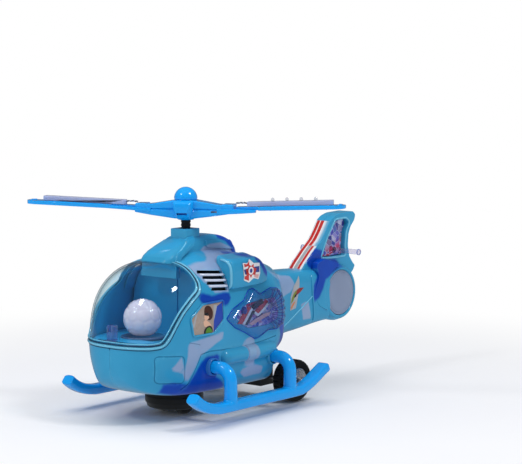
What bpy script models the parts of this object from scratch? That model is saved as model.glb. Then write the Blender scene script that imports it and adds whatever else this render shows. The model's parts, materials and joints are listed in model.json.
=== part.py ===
# Battery toy helicopter: light-up rotor, bump-and-go drive, clear canopy.
# Metres, +Z up, nose toward -Y, port side +X.  Dimensions below are in
# millimetres and are scaled by MM where geometry is made.  The mast axis is
# x = 0, y = 0 in the local frame of the empty "helicopter", which is shifted
# along Y so that the model's origin is the centre of its bounding box at the
# floor.
import bpy
import bmesh
import math
from mathutils import Vector, Matrix

MM = 0.001

# ---------------------------------------------------------------- dimensions
Y_SHIFT = -70.54          # mast axis in the model's frame
GAP = 0.3                 # clearance between touching pieces
WALL = 2.0                # moulded wall of the fuselage
NOSE_Y = -36.0            # where the nose starts to close
NOSE_L = 60.0             # length of the nose beyond NOSE_Y
NOSE_Z = 54.0             # height the nose closes to
ROTOR_ANGLE = 27.0        # resting angle of the blade line from +X
ROTOR_R = 138.0           # blade tip radius
ROTOR_Z = 172.5           # height of the blade plane at the mast
CONE_DEG = 2.0            # blades rise a little toward the tips
BALL_R = 16.3             # light ball
BALL_C = (0.0, -55.5, 85.5)
REAR_AXLE = (87.0, 18.5)  # y, z
REAR_R = 18.5             # rear tyre radius
REAR_X = 47.6             # rear tyre centre
REAR_W = 18.0             # rear tyre width
TURN_C = (0.0, -16.0)     # bump-and-go unit centre
TURN_R = 25.0
FRONT_R = 11.0            # front drive wheel radius
FRONT_X = 11.0
SKID_X = 70.3             # runner centre from the middle
SKID_Z = 15.2
STRUT_Y = (-25.2, 54.6)
STRUT_R = 5.9
DRUM_C = (204.7, 81.5)    # tail drum centre: y, z
DRUM_R = 24.0
DISC_R = 21.0
FIN_T = 7.5               # half thickness of the fin
TUBE_C = (208.0, 120.5)   # tail light tube: y, z
SHAFT_R = 2.0
GEAR_MOD = 0.8            # rotor gear pair
PINION_T = 9
GEAR_T = 36

for o in list(bpy.data.objects):
    bpy.data.objects.remove(o, do_unlink=True)

PARTS = bpy.data.collections.new("toy_helicopter")
TOOLS = bpy.data.collections.new("cutters")
for c in (PARTS, TOOLS):
    bpy.context.scene.collection.children.link(c)

root = bpy.data.objects.new("helicopter", None)
root.location = (0.0, Y_SHIFT * MM, 0.0)
PARTS.objects.link(root)


# ------------------------------------------------------------------ helpers
def material(name, rgb, rough=0.4, metal=0.0, alpha=1.0):
    m = bpy.data.materials.get(name)
    if m:
        return m
    m = bpy.data.materials.new(name)
    m.use_nodes = True
    b = m.node_tree.nodes["Principled BSDF"]
    b.inputs["Base Color"].default_value = (*rgb, 1.0)
    b.inputs["Roughness"].default_value = rough
    b.inputs["Metallic"].default_value = metal
    b.inputs["Alpha"].default_value = alpha
    m.diffuse_color = (*rgb, alpha)
    return m


def empty(name, loc, parent=root):
    e = bpy.data.objects.new(name, None)
    e.location = Vector(loc) * MM
    e.parent = parent
    PARTS.objects.link(e)
    return e


def obj(name, bm, mat=None, parent=root, tool=False, smooth=True):
    """A bmesh in millimetres, in the mast frame, becomes an object."""
    bmesh.ops.recalc_face_normals(bm, faces=bm.faces)
    me = bpy.data.meshes.new(name)
    bm.to_mesh(me)
    bm.free()
    me.transform(Matrix.Scale(MM, 4))
    o = bpy.data.objects.new(name, me)
    if tool:
        TOOLS.objects.link(o)
        o.hide_render = True
        o.display_type = 'WIRE'
        o.parent = root
    else:
        PARTS.objects.link(o)
        base = Vector((0, 0, 0))
        p = parent
        while p is not None and p is not root:
            base += p.location
            p = p.parent
        me.transform(Matrix.Translation(-base))
        o.parent = parent
    if mat:
        me.materials.append(mat)
    if smooth:
        me.shade_smooth()
        me.set_sharp_from_angle(angle=math.radians(35))
    return o


def apply_all(o):
    """Bakes an object's modifiers into its mesh."""
    dg = bpy.context.evaluated_depsgraph_get()
    dg.update()
    me = bpy.data.meshes.new_from_object(o.evaluated_get(dg), preserve_all_data_layers=False,
                                         depsgraph=dg)
    o.modifiers.clear()
    old = o.data
    o.data = me
    me.name = o.name
    if old.users == 0:
        bpy.data.meshes.remove(old)


def boolean(target, tool, op='DIFFERENCE'):
    """Joins or cuts with the exact solver, or the manifold one where the
    exact one leaves an open or empty mesh."""
    before = target.data.copy()
    for solver in ('EXACT', 'MANIFOLD'):
        m = target.modifiers.new(tool.name, 'BOOLEAN')
        m.operation = op
        m.object = tool
        m.solver = solver
        apply_all(target)
        bm = bmesh.new()
        bm.from_mesh(target.data)
        bmesh.ops.dissolve_degenerate(bm, dist=1e-6, edges=bm.edges)
        good = len(bm.faces) > 0 and all(len(e.link_faces) == 2 for e in bm.edges)
        if good and bm.calc_volume(signed=True) < 0:
            bmesh.ops.reverse_faces(bm, faces=bm.faces)
        bm.to_mesh(target.data)
        bm.free()
        if good:
            break
        if solver == 'EXACT':
            target.data = before.copy()
        else:
            print("boolean failed:", target.name, tool.name)


def bevel(o, width, segments=2, angle=40):
    b = o.modifiers.new("edges", 'BEVEL')
    b.width = width * MM
    b.segments = segments
    b.limit_method = 'ANGLE'
    b.angle_limit = math.radians(angle)
    return b


def frame_matrix(axis, centre):
    """Local Z goes to the named axis, the origin to centre."""
    rot = {'x': Matrix.Rotation(math.radians(90), 4, 'Y'),
           'y': Matrix.Rotation(math.radians(-90), 4, 'X'),
           'z': Matrix.Identity(4)}[axis]
    return Matrix.Translation(Vector(centre)) @ rot


def bm_cyl(bm, r, h, axis='z', centre=(0, 0, 0), seg=32, r2=None):
    bmesh.ops.create_cone(bm, cap_ends=True, segments=seg, radius1=r,
                          radius2=r if r2 is None else r2, depth=h,
                          matrix=frame_matrix(axis, centre))
    return bm


def bm_box(bm, size, centre=(0, 0, 0), rot=None):
    m = Matrix.Translation(Vector(centre))
    if rot is not None:
        m = m @ rot
    m = m @ Matrix.Diagonal((*size, 1.0))
    bmesh.ops.create_cube(bm, size=1.0, matrix=m)
    return bm


def cyl(name, r, h, axis, centre, seg=32, mat=None, parent=root, tool=False, r2=None):
    return obj(name, bm_cyl(bmesh.new(), r, h, axis, centre, seg, r2), mat, parent, tool)


def box(name, size, centre, mat=None, parent=root, tool=False, rot=None):
    return obj(name, bm_box(bmesh.new(), size, centre, rot), mat, parent, tool)


def turned(name, profile, axis, centre, seg=32, mat=None, parent=root, tool=False):
    """A closed (radius, height) profile turned about the named axis."""
    bm = bmesh.new()
    closed = all(r > 1e-6 for r, _ in profile)
    m = frame_matrix(axis, centre)
    rings = []
    for r, h in profile:
        if r <= 1e-6:
            rings.append([bm.verts.new(m @ Vector((0, 0, h)))])
        else:
            rings.append([bm.verts.new(m @ Vector((r * math.cos(2 * math.pi * i / seg),
                                                   r * math.sin(2 * math.pi * i / seg), h)))
                          for i in range(seg)])
    n = len(rings)
    for k in range(n if closed else n - 1):
        a, b = rings[k], rings[(k + 1) % n]
        for i in range(seg):
            j = (i + 1) % seg
            if len(a) == 1 and len(b) == 1:
                continue
            if len(a) == 1:
                bm.faces.new((a[0], b[j], b[i]))
            elif len(b) == 1:
                bm.faces.new((a[i], a[j], b[0]))
            else:
                bm.faces.new((a[i], a[j], b[j], b[i]))
    return obj(name, bm, mat, parent, tool)


def prism(name, outline, lo, hi, axis='x', mat=None, parent=root, tool=False):
    """A flat outline extruded from lo to hi along an axis.  The outline's two
    coordinates are (y, z) for x, (x, z) for y and (x, y) for z."""
    put = {'x': lambda a, b, t: (t, a, b), 'y': lambda a, b, t: (a, t, b),
           'z': lambda a, b, t: (a, b, t)}[axis]
    bm = bmesh.new()
    low = [bm.verts.new(put(a, b, lo)) for a, b in outline]
    top = [bm.verts.new(put(a, b, hi)) for a, b in outline]
    n = len(outline)
    bm.faces.new(low)
    bm.faces.new(top)
    for i in range(n):
        j = (i + 1) % n
        bm.faces.new((low[i], low[j], top[j], top[i]))
    return obj(name, bm, mat, parent, tool)


def loft(rings, close_ends=True, closed_ring=True):
    """Skin between rings of equal point count."""
    bm = bmesh.new()
    vs = [[bm.verts.new(p) for p in r] for r in rings]
    n = len(rings[0])
    for a, b in zip(vs, vs[1:]):
        for i in range(n if closed_ring else n - 1):
            j = (i + 1) % n
            bm.faces.new((a[i], a[j], b[j], b[i]))
    if close_ends:
        bm.faces.new(vs[0])
        bm.faces.new(vs[-1])
    return bm


def sweep(points, r, seg=10, squash=(1.0, 1.0), up=(0, 0, 1)):
    """A tube of elliptical section along a smooth path, ends capped."""
    pts = [Vector(p) for p in points]
    rings = []
    for i, p in enumerate(pts):
        t = (pts[min(i + 1, len(pts) - 1)] - pts[max(i - 1, 0)]).normalized()
        side = t.cross(Vector(up)).normalized()
        top = side.cross(t).normalized()
        rr = r[i] if isinstance(r, (list, tuple)) else r
        rings.append([p + side * (rr * squash[0] * math.cos(2 * math.pi * (k + 0.5) / seg)) +
                      top * (rr * squash[1] * math.sin(2 * math.pi * (k + 0.5) / seg))
                      for k in range(seg)])
    return loft(rings)


def lerp_table(table, y):
    """Smooth (Catmull-Rom) interpolation of rows (y, values...)."""
    ys = [row[0] for row in table]
    if y <= ys[0]:
        return list(table[0][1:])
    if y >= ys[-1]:
        return list(table[-1][1:])
    k = max(i for i in range(len(ys) - 1) if ys[i] <= y)
    out = []
    y0, y1 = ys[k], ys[k + 1]
    t = (y - y0) / (y1 - y0)
    for c in range(1, len(table[0])):
        p0, p1 = table[k][c], table[k + 1][c]
        m0 = (p1 - table[k - 1][c]) / (y1 - ys[k - 1]) if k > 0 else 0.0
        m1 = (table[k + 2][c] - p0) / (ys[k + 2] - y0) if k + 2 < len(ys) else 0.0
        if (p1 - p0) * m0 <= 0:
            m0 = 0.0
        if (p1 - p0) * m1 <= 0:
            m1 = 0.0
        lim = 3 * abs(p1 - p0) / (y1 - y0)
        m0 = max(-lim, min(lim, m0)) * (y1 - y0)
        m1 = max(-lim, min(lim, m1)) * (y1 - y0)
        out.append((2 * t ** 3 - 3 * t ** 2 + 1) * p0 + (t ** 3 - 2 * t ** 2 + t) * m0 +
                   (-2 * t ** 3 + 3 * t ** 2) * p1 + (t ** 3 - t ** 2) * m1)
    return out


def spline(ctrl, n):
    """Quadratic B-spline through a clamped control polygon, n+1 points."""
    m = len(ctrl) - 2
    out = []
    for s in range(n + 1):
        u = s / n * m
        k = min(int(u), m - 1)
        t = u - k
        a, b, c = (Vector(ctrl[k]), Vector(ctrl[k + 1]), Vector(ctrl[k + 2]))
        if k == 0:
            pa = a
        else:
            pa = (a + b) / 2
        pc = c if k == m - 1 else (b + c) / 2
        out.append(pa * (1 - t) ** 2 + b * 2 * t * (1 - t) + pc * t ** 2)
    return out


# --------------------------------------------------- the fuselage's surface
# Each station: y, belly height and half width, then four side control
# points (half width, height) from belly to shoulder, then the roof's half
# width and height.
BODY = [
    (-36, 22, 31, 48, 25, 50.5, 58, 48.5, 97, 41.5, 120, 22, 132.5),
    (-10, 22, 32, 49.5, 24, 51.5, 58, 50, 98, 43, 122, 22, 140),
    (25, 22, 32, 50, 24, 51.5, 58, 50, 98, 43, 121, 20, 139),
    (48, 22, 32, 50, 24, 51.3, 58, 49.6, 97, 43, 119, 20, 134),
    (57.5, 22.5, 32, 49.6, 25, 51, 58, 49.3, 96, 43, 118, 20, 132),
    (62, 40, 32, 49, 45, 50.5, 64, 49, 96, 42.5, 117, 20, 130.5),
    (67, 44, 30, 47.5, 47, 49.5, 66, 48, 95, 41.5, 115.5, 20, 128.5),
    (80, 45, 26, 41.5, 50, 44.5, 68, 42.5, 92, 37, 111.5, 18, 123),
    (90, 46, 20, 34, 52, 37, 70, 35.5, 90, 30, 109, 17, 120),
    (100, 48, 15, 25, 54, 28, 70, 27, 90, 23, 105, 14, 114),
    (111, 50, 11, 18.5, 56, 20.5, 71, 20, 90, 18, 102, 11, 110.5),
    (142, 52.5, 10, 15.5, 58, 17, 72, 16.5, 91, 15.5, 102, 10, 108.5),
    (190, 56, 9, 14, 61, 15, 73, 14.8, 91, 14, 101, 9, 106.5),
]


def body_ctrl(y):
    """Half-section control points at y, from the belly to the roof."""
    v = lerp_table(BODY, max(y, NOSE_Y))
    zb, wb, zt = v[0], v[1], v[11]
    pts = [(0, zb), (wb, zb), (v[2], v[3]), (v[4], v[5]), (v[6], v[7]),
           (v[8], v[9]), (v[10], zt), (0, zt)]
    if y < NOSE_Y:
        t = min((NOSE_Y - y) / NOSE_L, 0.99999)
        sw = (1 - t ** 2.4) ** (1 / 2.4)
        su = (1 - t ** 2.15) ** (1 / 2.15)
        sl = (1 - t ** 2.6) ** (1 / 2.6)
        chin = 0.30 * t             # the chin is narrower than the lip
        pts = [(x * sw * (1 - chin * max(0.0, NOSE_Z - z) / 32),
                NOSE_Z + (z - NOSE_Z) * (su if z > NOSE_Z else sl)) for x, z in pts]
    return pts


def body_section(y, n):
    """n+1 points of the half-section at y, belly centre to roof centre."""
    return [Vector((p.x, y, p.z)) for p in
            spline([(x, 0, z) for x, z in body_ctrl(y)], n)]


NOSE_STATIONS = [NOSE_Y - NOSE_L * math.sin(math.radians(a)) for a in (87, 77, 65, 51, 35, 18)]
STATIONS = NOSE_STATIONS + [-36, -14, 25, 48, 57.5, 62, 67, 74, 82, 91, 101, 111, 142, 188]


def body_rings(n=11, stations=STATIONS, grow=0.0):
    """Full rings of the outer skin, from the nose back, moved out by grow."""
    rings = []
    for y in stations:
        half = body_section(y, n)
        moved = []
        for i, p in enumerate(half):
            a, b = half[max(i - 1, 0)], half[min(i + 1, n)]
            d = Vector((b.z - a.z, 0, a.x - b.x))
            if i == 0:
                d = Vector((0, 0, -1))
            if i == n:
                d = Vector((0, 0, 1))
            moved.append(p + d.normalized() * grow)
        rings.append(moved + [Vector((-p.x, p.y, p.z)) for p in moved[-2:0:-1]])
    return rings


def body_solid(name, grow, y0, y1, n=11):
    """A solid of the body's shape, moved out by grow, between two stations."""
    st = [y0] + [y for y in STATIONS if y0 < y < y1] + [y1]
    return obj(name, loft(body_rings(n, st, grow)), tool=True)


# ---------------------------------------------------------------- materials
M_BODY = material("body_blue", (0.10, 0.36, 0.52), 0.32)
M_AZURE = material("azure_plastic", (0.0, 0.28, 0.85), 0.22)
M_LAV = material("lavender_clear", (0.62, 0.62, 0.86), 0.25, alpha=0.75)
M_CLEAR = material("clear_canopy", (0.80, 0.88, 0.95), 0.05, alpha=0.25)
M_LENS = material("blue_clear_lens", (0.25, 0.30, 0.80), 0.08, alpha=0.45)
M_RED = material("red_reflector", (0.75, 0.04, 0.06), 0.25)
M_BLACK = material("black_plastic", (0.02, 0.02, 0.022), 0.45)
M_RUBBER = material("black_rubber", (0.018, 0.018, 0.018), 0.8)
M_SILVER = material("silver_hub", (0.75, 0.76, 0.78), 0.25, 1.0)
M_STEEL = material("steel", (0.55, 0.56, 0.58), 0.3, 1.0)
M_BRASS = material("brass_gear", (0.70, 0.52, 0.22), 0.35, 1.0)
M_WHITE = material("white_nylon", (0.86, 0.86, 0.84), 0.4)
M_LED = material("led_clear", (0.85, 0.88, 0.90), 0.05, alpha=0.5)
M_PCB = material("circuit_board", (0.02, 0.20, 0.08), 0.5)
M_CELL = material("battery_cell", (0.12, 0.12, 0.13), 0.35)
M_SPRING = material("contact_steel", (0.65, 0.66, 0.68), 0.3, 1.0)
M_WIRE = material("wire_insulation", (0.75, 0.78, 0.82), 0.45)
M_SPEAKER = material("speaker_cone", (0.05, 0.05, 0.055), 0.7)
M_CLIGHT = material("light_tube", (0.80, 0.82, 0.95), 0.08, alpha=0.5)
M_FINLIGHT = material("fin_light", (0.35, 0.28, 0.70), 0.15, alpha=0.7)

# ------------------------------------------------------------ fuselage halves
# Outline of the canopy's opening, seen from the side, as (y, z): it runs from
# the nose lip back along the lower edge, up the slanted corner and forward
# again to the roof.
CANOPY_EDGE = [(-110, 69.0), (-84, 69.0), (-77, 70.5), (-72.5, 76), (-66.5, 85.5), (-58.5, 95.5),
               (-47.5, 104.3), (-37.5, 110.5), (-35, 115.5), (-35, 150), (-110, 150)]


def shrink(outline, d):
    """Moves an outline inward by about d."""
    n = len(outline)
    area = sum(outline[i][0] * outline[(i + 1) % n][1] - outline[(i + 1) % n][0] * outline[i][1] for i in range(n))
    d = d if area > 0 else -d
    out = []
    for i in range(n):
        p = Vector(outline[i])
        a = (p - Vector(outline[i - 1])).normalized()
        b = (Vector(outline[(i + 1) % n]) - p).normalized()
        na, nb = Vector((-a.y, a.x)), Vector((-b.y, b.x))
        m = (na + nb)
        m = m / max(m.length_squared, 0.5) * 4
        out.append(tuple(p + m * (d / 2)))
    return out


# fin outline (y, z); its front edge leans back
FIN = [(146, 100), (156.5, 110.8), (170, 122), (183.5, 131.8), (190.5, 140), (197, 149.3), (203, 153),
       (212, 155.3), (233, 156), (237, 152.5), (235, 147), (229.5, 142), (226, 135), (225, 124),
       (227.5, 113.5), (233, 107), (230.5, 100.5), (222, 90), (190, 90)]
FIN_WINDOW = [(183.5, 116.5), (192, 132), (205, 149), (222, 149.5), (226, 146), (220.5, 137),
              (219, 124), (220, 115.5), (192, 115.5)]


def pod_sections(side, grow=0.0):
    """Engine pod: a rounded box on the shoulder, tapering to the rear."""
    rings = []
    for y, top, bot, xo in ((0, 132, 108.5, 50), (3, 133.2, 107.5, 51.5), (34, 133.6, 108, 51.5),
                            (44, 130.5, 108.5, 50), (52, 122, 109.5, 48), (54, 117, 111, 46)):
        xi = 34.0
        ctrl = [(xi, bot + 1), (xo - 2, bot), (xo, bot + 3), (xo, (top + bot) / 2 + 1),
                (xo - 2.5, top - 2), (xo - 9, top), (xi, top + 2)]
        ring = [Vector((side * x, y, z)) for x, z in ctrl]
        rings.append(ring)
    return rings


def make_shell(side, name):
    rings = body_rings()
    bm = loft(rings, close_ends=False)
    bm.verts.ensure_lookup_table()
    bm.faces.new([bm.verts[i] for i in range(len(rings[0]))])
    bmesh.ops.recalc_face_normals(bm, faces=bm.faces)
    ref = max(bm.faces, key=lambda f: f.calc_center_median().x)
    if ref.normal.x < 0:
        bmesh.ops.reverse_faces(bm, faces=bm.faces)
    me = bpy.data.meshes.new(name)
    bm.to_mesh(me)
    bm.free()
    me.transform(Matrix.Scale(MM, 4))
    o = bpy.data.objects.new(name, me)
    PARTS.objects.link(o)
    o.parent = root
    me.materials.append(M_BODY)
    s = o.modifiers.new("wall", 'SOLIDIFY')
    s.thickness = WALL * MM
    s.offset = -1.0
    s.use_even_offset = True
    s.use_rim = True
    # keep the wall inside its own half
    keep = box("keep_" + name, (120, 400, 220), (side * (60 + GAP / 2), 60, 100), tool=True)
    boolean(o, keep, 'INTERSECT')
    t = name[-4:]
    lo, hi = sorted((side * GAP / 2, side * FIN_T))
    fin = prism("fin_" + t, FIN, lo, hi, 'x', tool=True)
    boolean(o, fin, 'UNION')
    lo, hi = sorted((side * 0, side * 18))
    core = cyl("core_" + t, DISC_R - 1.5, 40, 'x', (0, *DRUM_C), 24, tool=True)
    core2 = cyl("seat_" + t, DISC_R + GAP, 6, 'x', (side * 15.5, *DRUM_C), 24, tool=True)
    solid = cyl("drum_" + t, DRUM_R, 14.85, 'x', (side * (7.425 + GAP / 2), *DRUM_C), 24, tool=True)
    boolean(o, solid, 'UNION')
    boolean(o, core)
    boolean(o, core2)
    # engine pod, with its face open toward the louvres
    pod = obj("pod_" + t, loft(pod_sections(side)), tool=True)
    boolean(o, pod, 'UNION')
    # missile-shaped fairing along the lower side
    fair = obj("fairing_" + t, sweep([(side * 49.0, y, 51.5 + 0.02 * y) for y in (-14, -11, -4, 50, 56)],
                                     [2.5, 5.0, 7.0, 7.0, 6.0], 8), tool=True)
    boolean(o, fair, 'UNION')
    # sockets for the skid struts
    for k, sy in enumerate(STRUT_Y):
        z = 45.7 if k == 0 else 44.6
        boss = cyl("boss_%s_%d" % (t, k), 8.2, 9.0, 'x', (side * 51.0, sy, z), 14, tool=True)
        boolean(o, boss, 'UNION')
        hole = cyl("socket_%s_%d" % (t, k), STRUT_R + GAP, 14, 'x', (side * 51.0, sy, z), 12, tool=True)
        boolean(o, hole)
    # canopy opening
    lo, hi = sorted((0, side * 70))
    boolean(o, prism("opening_" + t, CANOPY_EDGE, lo, hi, 'x', tool=True))
    # window for the fin's light panel, and the tail light tube's holes
    boolean(o, prism("finwin_" + t, FIN_WINDOW, -20, 20, 'x', tool=True))
    # seat for the side light cover
    boolean(o, prism("lensseat_" + t, LENS_HOLE, *sorted((side * 20, side * 70)), 'x', tool=True))
    # belly openings: bump-and-go unit, battery door
    boolean(o, cyl("turn_hole_" + t, TURN_R + 1.2, 20, 'z', (*TURN_C, 18), 24, tool=True))
    boolean(o, box("door_hole_" + t, (65.0, 44.6, 10), (3.4, 33.5, 21), tool=True))
    # switch slot in the belly
    if side < 0:
        boolean(o, box("switch_hole", (4.6, 11.0, 10), (-34.5, 33.5, 22), tool=True))
    # the axle housing passes the rear overhang, the cowl's tower the roof
    boolean(o, box("axle_hole_" + t, (40.6, 18.2, 14), (0, 86, 47), tool=True))
    boolean(o, cyl("roof_hole_" + t, 7.0, 24, 'z', (0, 0, 140), 16, tool=True))
    # louvre slots in the shoulder ahead of the pod
    for i in range(4):
        boolean(o, box("louvre_%s_%d" % (t, i), (18, 21 - 3.0 * i, 2.0), (side * 44, -12.5 + 1.5 * i, 125.5 - 4.4 * i),
                       tool=True))
    o.data.shade_smooth()
    o.data.set_sharp_from_angle(angle=math.radians(35))
    return o


# side light cover outline (y, z), widest at the ribbed fan behind
LENS = [(-7, 83.5), (2, 91), (17, 96.5), (25, 104.5), (32, 105.5), (40, 99.5), (56, 103.5), (68, 102), (74, 94),
        (76, 82), (73, 72), (62, 67.5), (48, 68), (37, 63.5), (30, 62.5), (18, 69), (4, 75)]
LENS_HOLE = [(6, 83.3), (11, 88.5), (22, 93.5), (44, 95), (62, 95), (66, 86), (64, 76), (48, 72.5), (22, 72.5), (11, 78)]

make_shell(1, "fuselage_shell_left")
make_shell(-1, "fuselage_shell_right")

# ------------------------------------------------------------------- canopy
can = obj("canopy", loft(body_rings(11, [y for y in NOSE_STATIONS] + [-36, -30]), close_ends=False), M_CLEAR)
cap = bmesh.new()
cap.from_mesh(can.data)
cap.verts.ensure_lookup_table()
cap.faces.new([cap.verts[i] for i in range(22)])
bmesh.ops.recalc_face_normals(cap, faces=cap.faces)
ref = max(cap.faces, key=lambda f: f.calc_center_median().x)
if ref.normal.x < 0:
    bmesh.ops.reverse_faces(cap, faces=cap.faces)
cap.to_mesh(can.data)
cap.free()
w = can.modifiers.new("wall", 'SOLIDIFY')
w.thickness = 1.5 * MM
w.offset = -1.0
w.use_even_offset = True
apply_all(can)
boolean(can, prism("canopy_cut", shrink(CANOPY_EDGE, 0.5), -80, 80, 'x', tool=True), 'INTERSECT')

# cockpit liner: floor and rear bulkhead in one moulding
liner = box("cockpit_liner", (110, 76, 1.8), (0, -54.5, 67.6), M_BODY)
boolean(liner, box("bulkhead", (110, 1.8, 80), (0, -17.4, 106.7), tool=True), 'UNION')
boolean(liner, body_solid("liner_room", -4.4, -86.0, -10), 'INTERSECT')
boolean(liner, cyl("spindle_hole", 3.2, 20, 'z', (0, BALL_C[1], 68), 20, tool=True))

console = box("cockpit_light_block", (7.5, 7.0, 13.5), (-7.0, -85.0, 75.6), M_LAV)
boolean(console, box("block_slot", (4.0, 20, 7), (-7.0, -85.0, 80.0), tool=True))

# -------------------------------------------------------------- light ball
ball_pivot = empty("light_ball_pivot", (BALL_C[0], BALL_C[1], 68.0))
prof = []
for k in range(10):
    a = math.radians(90 - k * 17.0)
    prof.append((BALL_R * math.cos(a), BALL_C[2] + BALL_R * math.sin(a)))
prof = [(0.0, prof[0][1])] + prof[1:-1]
prof = [p for p in prof if p[1] > 71.5] + [(7.9, 71.0)]
inner = [(6.9, 71.0)] + [((BALL_R - 1.2) * math.cos(math.radians(a)), BALL_C[2] + (BALL_R - 1.2) * math.sin(math.radians(a)))
                         for a in (-58, -28, 0, 28, 58)] + [(0.0, BALL_C[2] + BALL_R - 1.2)]
turned("light_ball", prof + inner, 'z', (0, BALL_C[1], 0), 18, M_LAV, ball_pivot)
base = turned("light_ball_base", [(0, 70.6), (18.8, 70.6), (18.8, 69.0), (2.8, 69.0), (2.8, 62.0), (0, 62.0)],
              'z', (0, BALL_C[1], 0), 20, M_LAV, ball_pivot)

# --------------------------------------------------------------- mast cowl
# ridge along the roof: y, half width at the foot, half width on top, height
RIDGE = [(-43, 11, 8, 129.5), (-40.5, 15, 11, 134), (-34, 17, 13, 138.5), (-22, 16.5, 12.5, 144), (-11, 15.5, 11, 147.5),
         (8, 15.5, 11.5, 150), (20, 16, 12, 150.3), (32, 16, 12, 148.8), (42, 15.5, 11.5, 145.5),
         (48, 14.5, 10.5, 142), (52, 13, 9, 137.5), (54, 12, 8, 132)]
rr = []
for y, wf, wt, zt in RIDGE:
    half = spline([(wf + 0.6, 0, 120), (wf, 0, (zt + 131) / 2), (wt, 0, zt), (wt * 0.5, 0, zt + 0.4), (0, 0, zt + 0.5)], 7)
    half = [Vector((p.x, y, p.z)) for p in half]
    rr.append(half + [Vector((-p.x, p.y, p.z)) for p in half[-2::-1]])
cowl = obj("mast_cowl", loft(rr), M_BODY)
boolean(cowl, box("tower", (17.4, 18.5, 20), (0.3, -0.9, 146.7), tool=True), 'UNION')
boolean(cowl, body_solid("roof", GAP, -60, 78))
boolean(cowl, cyl("mast_hole", 4.7, 60, 'z', (0, 0, 145), 24, tool=True))

# ------------------------------------------------------------- side lights
for side, t in ((1, "left"), (-1, "right")):
    lo, hi = sorted((side * 5, side * 90))
    cover = body_solid("cover_out_" + t, 5.5, -6, 84)
    TOOLS.objects.unlink(cover)
    PARTS.objects.link(cover)
    cover.hide_render = False
    cover.display_type = 'TEXTURED'
    cover.name = cover.data.name = "light_cover_" + t
    cover.data.materials.append(M_LENS)
    boolean(cover, prism("cover_cut_" + t, LENS, lo, hi, 'x', tool=True), 'INTERSECT')
    boolean(cover, body_solid("cover_body_" + t, GAP, -15, 93))
    room = body_solid("cover_room_" + t, 4.0, -6, 84)
    boolean(room, prism("cover_room_cut_" + t, shrink(LENS_HOLE, -1.5), lo, hi, 'x', tool=True), 'INTERSECT')
    boolean(cover, room)
    refl = body_solid("refl_" + t, -0.3, -6, 84)
    TOOLS.objects.unlink(refl)
    PARTS.objects.link(refl)
    refl.hide_render = False
    refl.display_type = 'TEXTURED'
    refl.name = refl.data.name = "light_reflector_" + t
    refl.data.materials.append(M_RED)
    boolean(refl, prism("refl_cut_" + t, shrink(LENS_HOLE, 0.5), lo, hi, 'x', tool=True), 'INTERSECT')
    boolean(refl, body_solid("refl_back_" + t, -1.7, -15, 93))

# -------------------------------------------------------------------- tail
for side, t in ((1, "left"), (-1, "right")):
    d = turned("tail_disc_" + t, [(0, 15.9), (8, 15.7), (16, 15.2), (DISC_R, 14.2), (DISC_R, 12.8), (0, 12.8)],
               'x', (0, *DRUM_C), 24, M_LAV)
    if side < 0:
        d.data.transform(Matrix.Scale(-1, 4, (1, 0, 0)))
        d.data.flip_normals()
panel = prism("fin_light_panel", shrink(FIN_WINDOW, 0.45), -4.0, 4.0, 'x', M_FINLIGHT)
boolean(panel, cyl("tube_hole", 3.0, 60, 'x', (0, *TUBE_C), 20, tool=True))
tube = turned("tail_light_tube", [(0, 34), (2.1, 34), (2.7, 33), (2.7, -33), (2.1, -34), (0, -34)],
              'x', (0, *TUBE_C), 16, M_CLIGHT)

# ------------------------------------------------------------------- skids
for side, t in ((1, "left"), (-1, "right")):
    path = [(-73.5, 28.2), (-68.5, 24.3), (-62.5, 20.8), (-55, 17.9), (-46, 16.0), (-34, SKID_Z), (20, SKID_Z), (60, SKID_Z),
            (71, 16.2), (81, 19.6), (90, 23.8), (97, 27.4), (103, 30.0)]
    runner = obj("skid_" + t, sweep([(side * SKID_X, y, z) for y, z in path], 4.4, 8, (1.3, 1.0)), M_AZURE)
    for k, sy in enumerate(STRUT_Y):
        z = 45.7 if k == 0 else 44.6
        R = 11.0
        arc = [(SKID_X - R + R * math.sin(math.radians(a)), z - R + R * math.cos(math.radians(a)))
               for a in (0, 18, 36, 54, 72, 90)]
        pts = [(48.5, z), (54, z)] + arc + [(SKID_X, 24), (SKID_X, SKID_Z)]
        strut = obj("strut_%s_%d" % (t, k), sweep([(side * x, sy, zz) for x, zz in pts], STRUT_R, 10,
                                                 up=(0, 1, 0)), tool=True)
        boolean(runner, strut, 'UNION')

# -------------------------------------------------------------- rear wheels
rear = empty("rear_axle_pivot", (0, *REAR_AXLE))
for side, t in ((1, "left"), (-1, "right")):
    h = REAR_W / 2
    x0 = side * REAR_X
    turned("rear_tyre_" + t, [(11.6, h - 0.6), (15.6, h), (17.6, h - 1.4), (REAR_R, h - 4), (REAR_R, -h + 4), (17.6, -h + 1.4),
                              (15.6, -h), (11.6, -h + 0.6)], 'x', (x0, *REAR_AXLE), 26, M_RUBBER, rear)
    hub = turned("rear_hub_" + t, [(1.9, 6.5), (4.5, 7.2), (8.0, 6.4), (10.2, 7.6), (11.3, 7.0), (11.3, -7.6), (4.0, -7.6), (4.0, -8.4),
                                   (1.9, -8.4)], 'x', (x0, *REAR_AXLE), 18, M_SILVER, rear)
    if side < 0:
        off = Vector((x0 * MM, 0, 0))
        hub.data.transform(Matrix.Translation(off) @ Matrix.Scale(-1, 4, (1, 0, 0)) @ Matrix.Translation(-off))
        hub.data.flip_normals()
cyl("rear_axle", 1.6, 2 * (REAR_X + 9.0), 'x', (0, *REAR_AXLE), 12, M_STEEL, rear)
house = box("rear_axle_housing", (40, 17.6, 40), (0, 86, 31), M_BLACK)
boolean(house, cyl("axle_bore", 2.0, 60, 'x', (0, *REAR_AXLE), 14, tool=True))
boolean(house, box("housing_room", (34, 12, 60), (0, 86, 57), tool=True))

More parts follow.
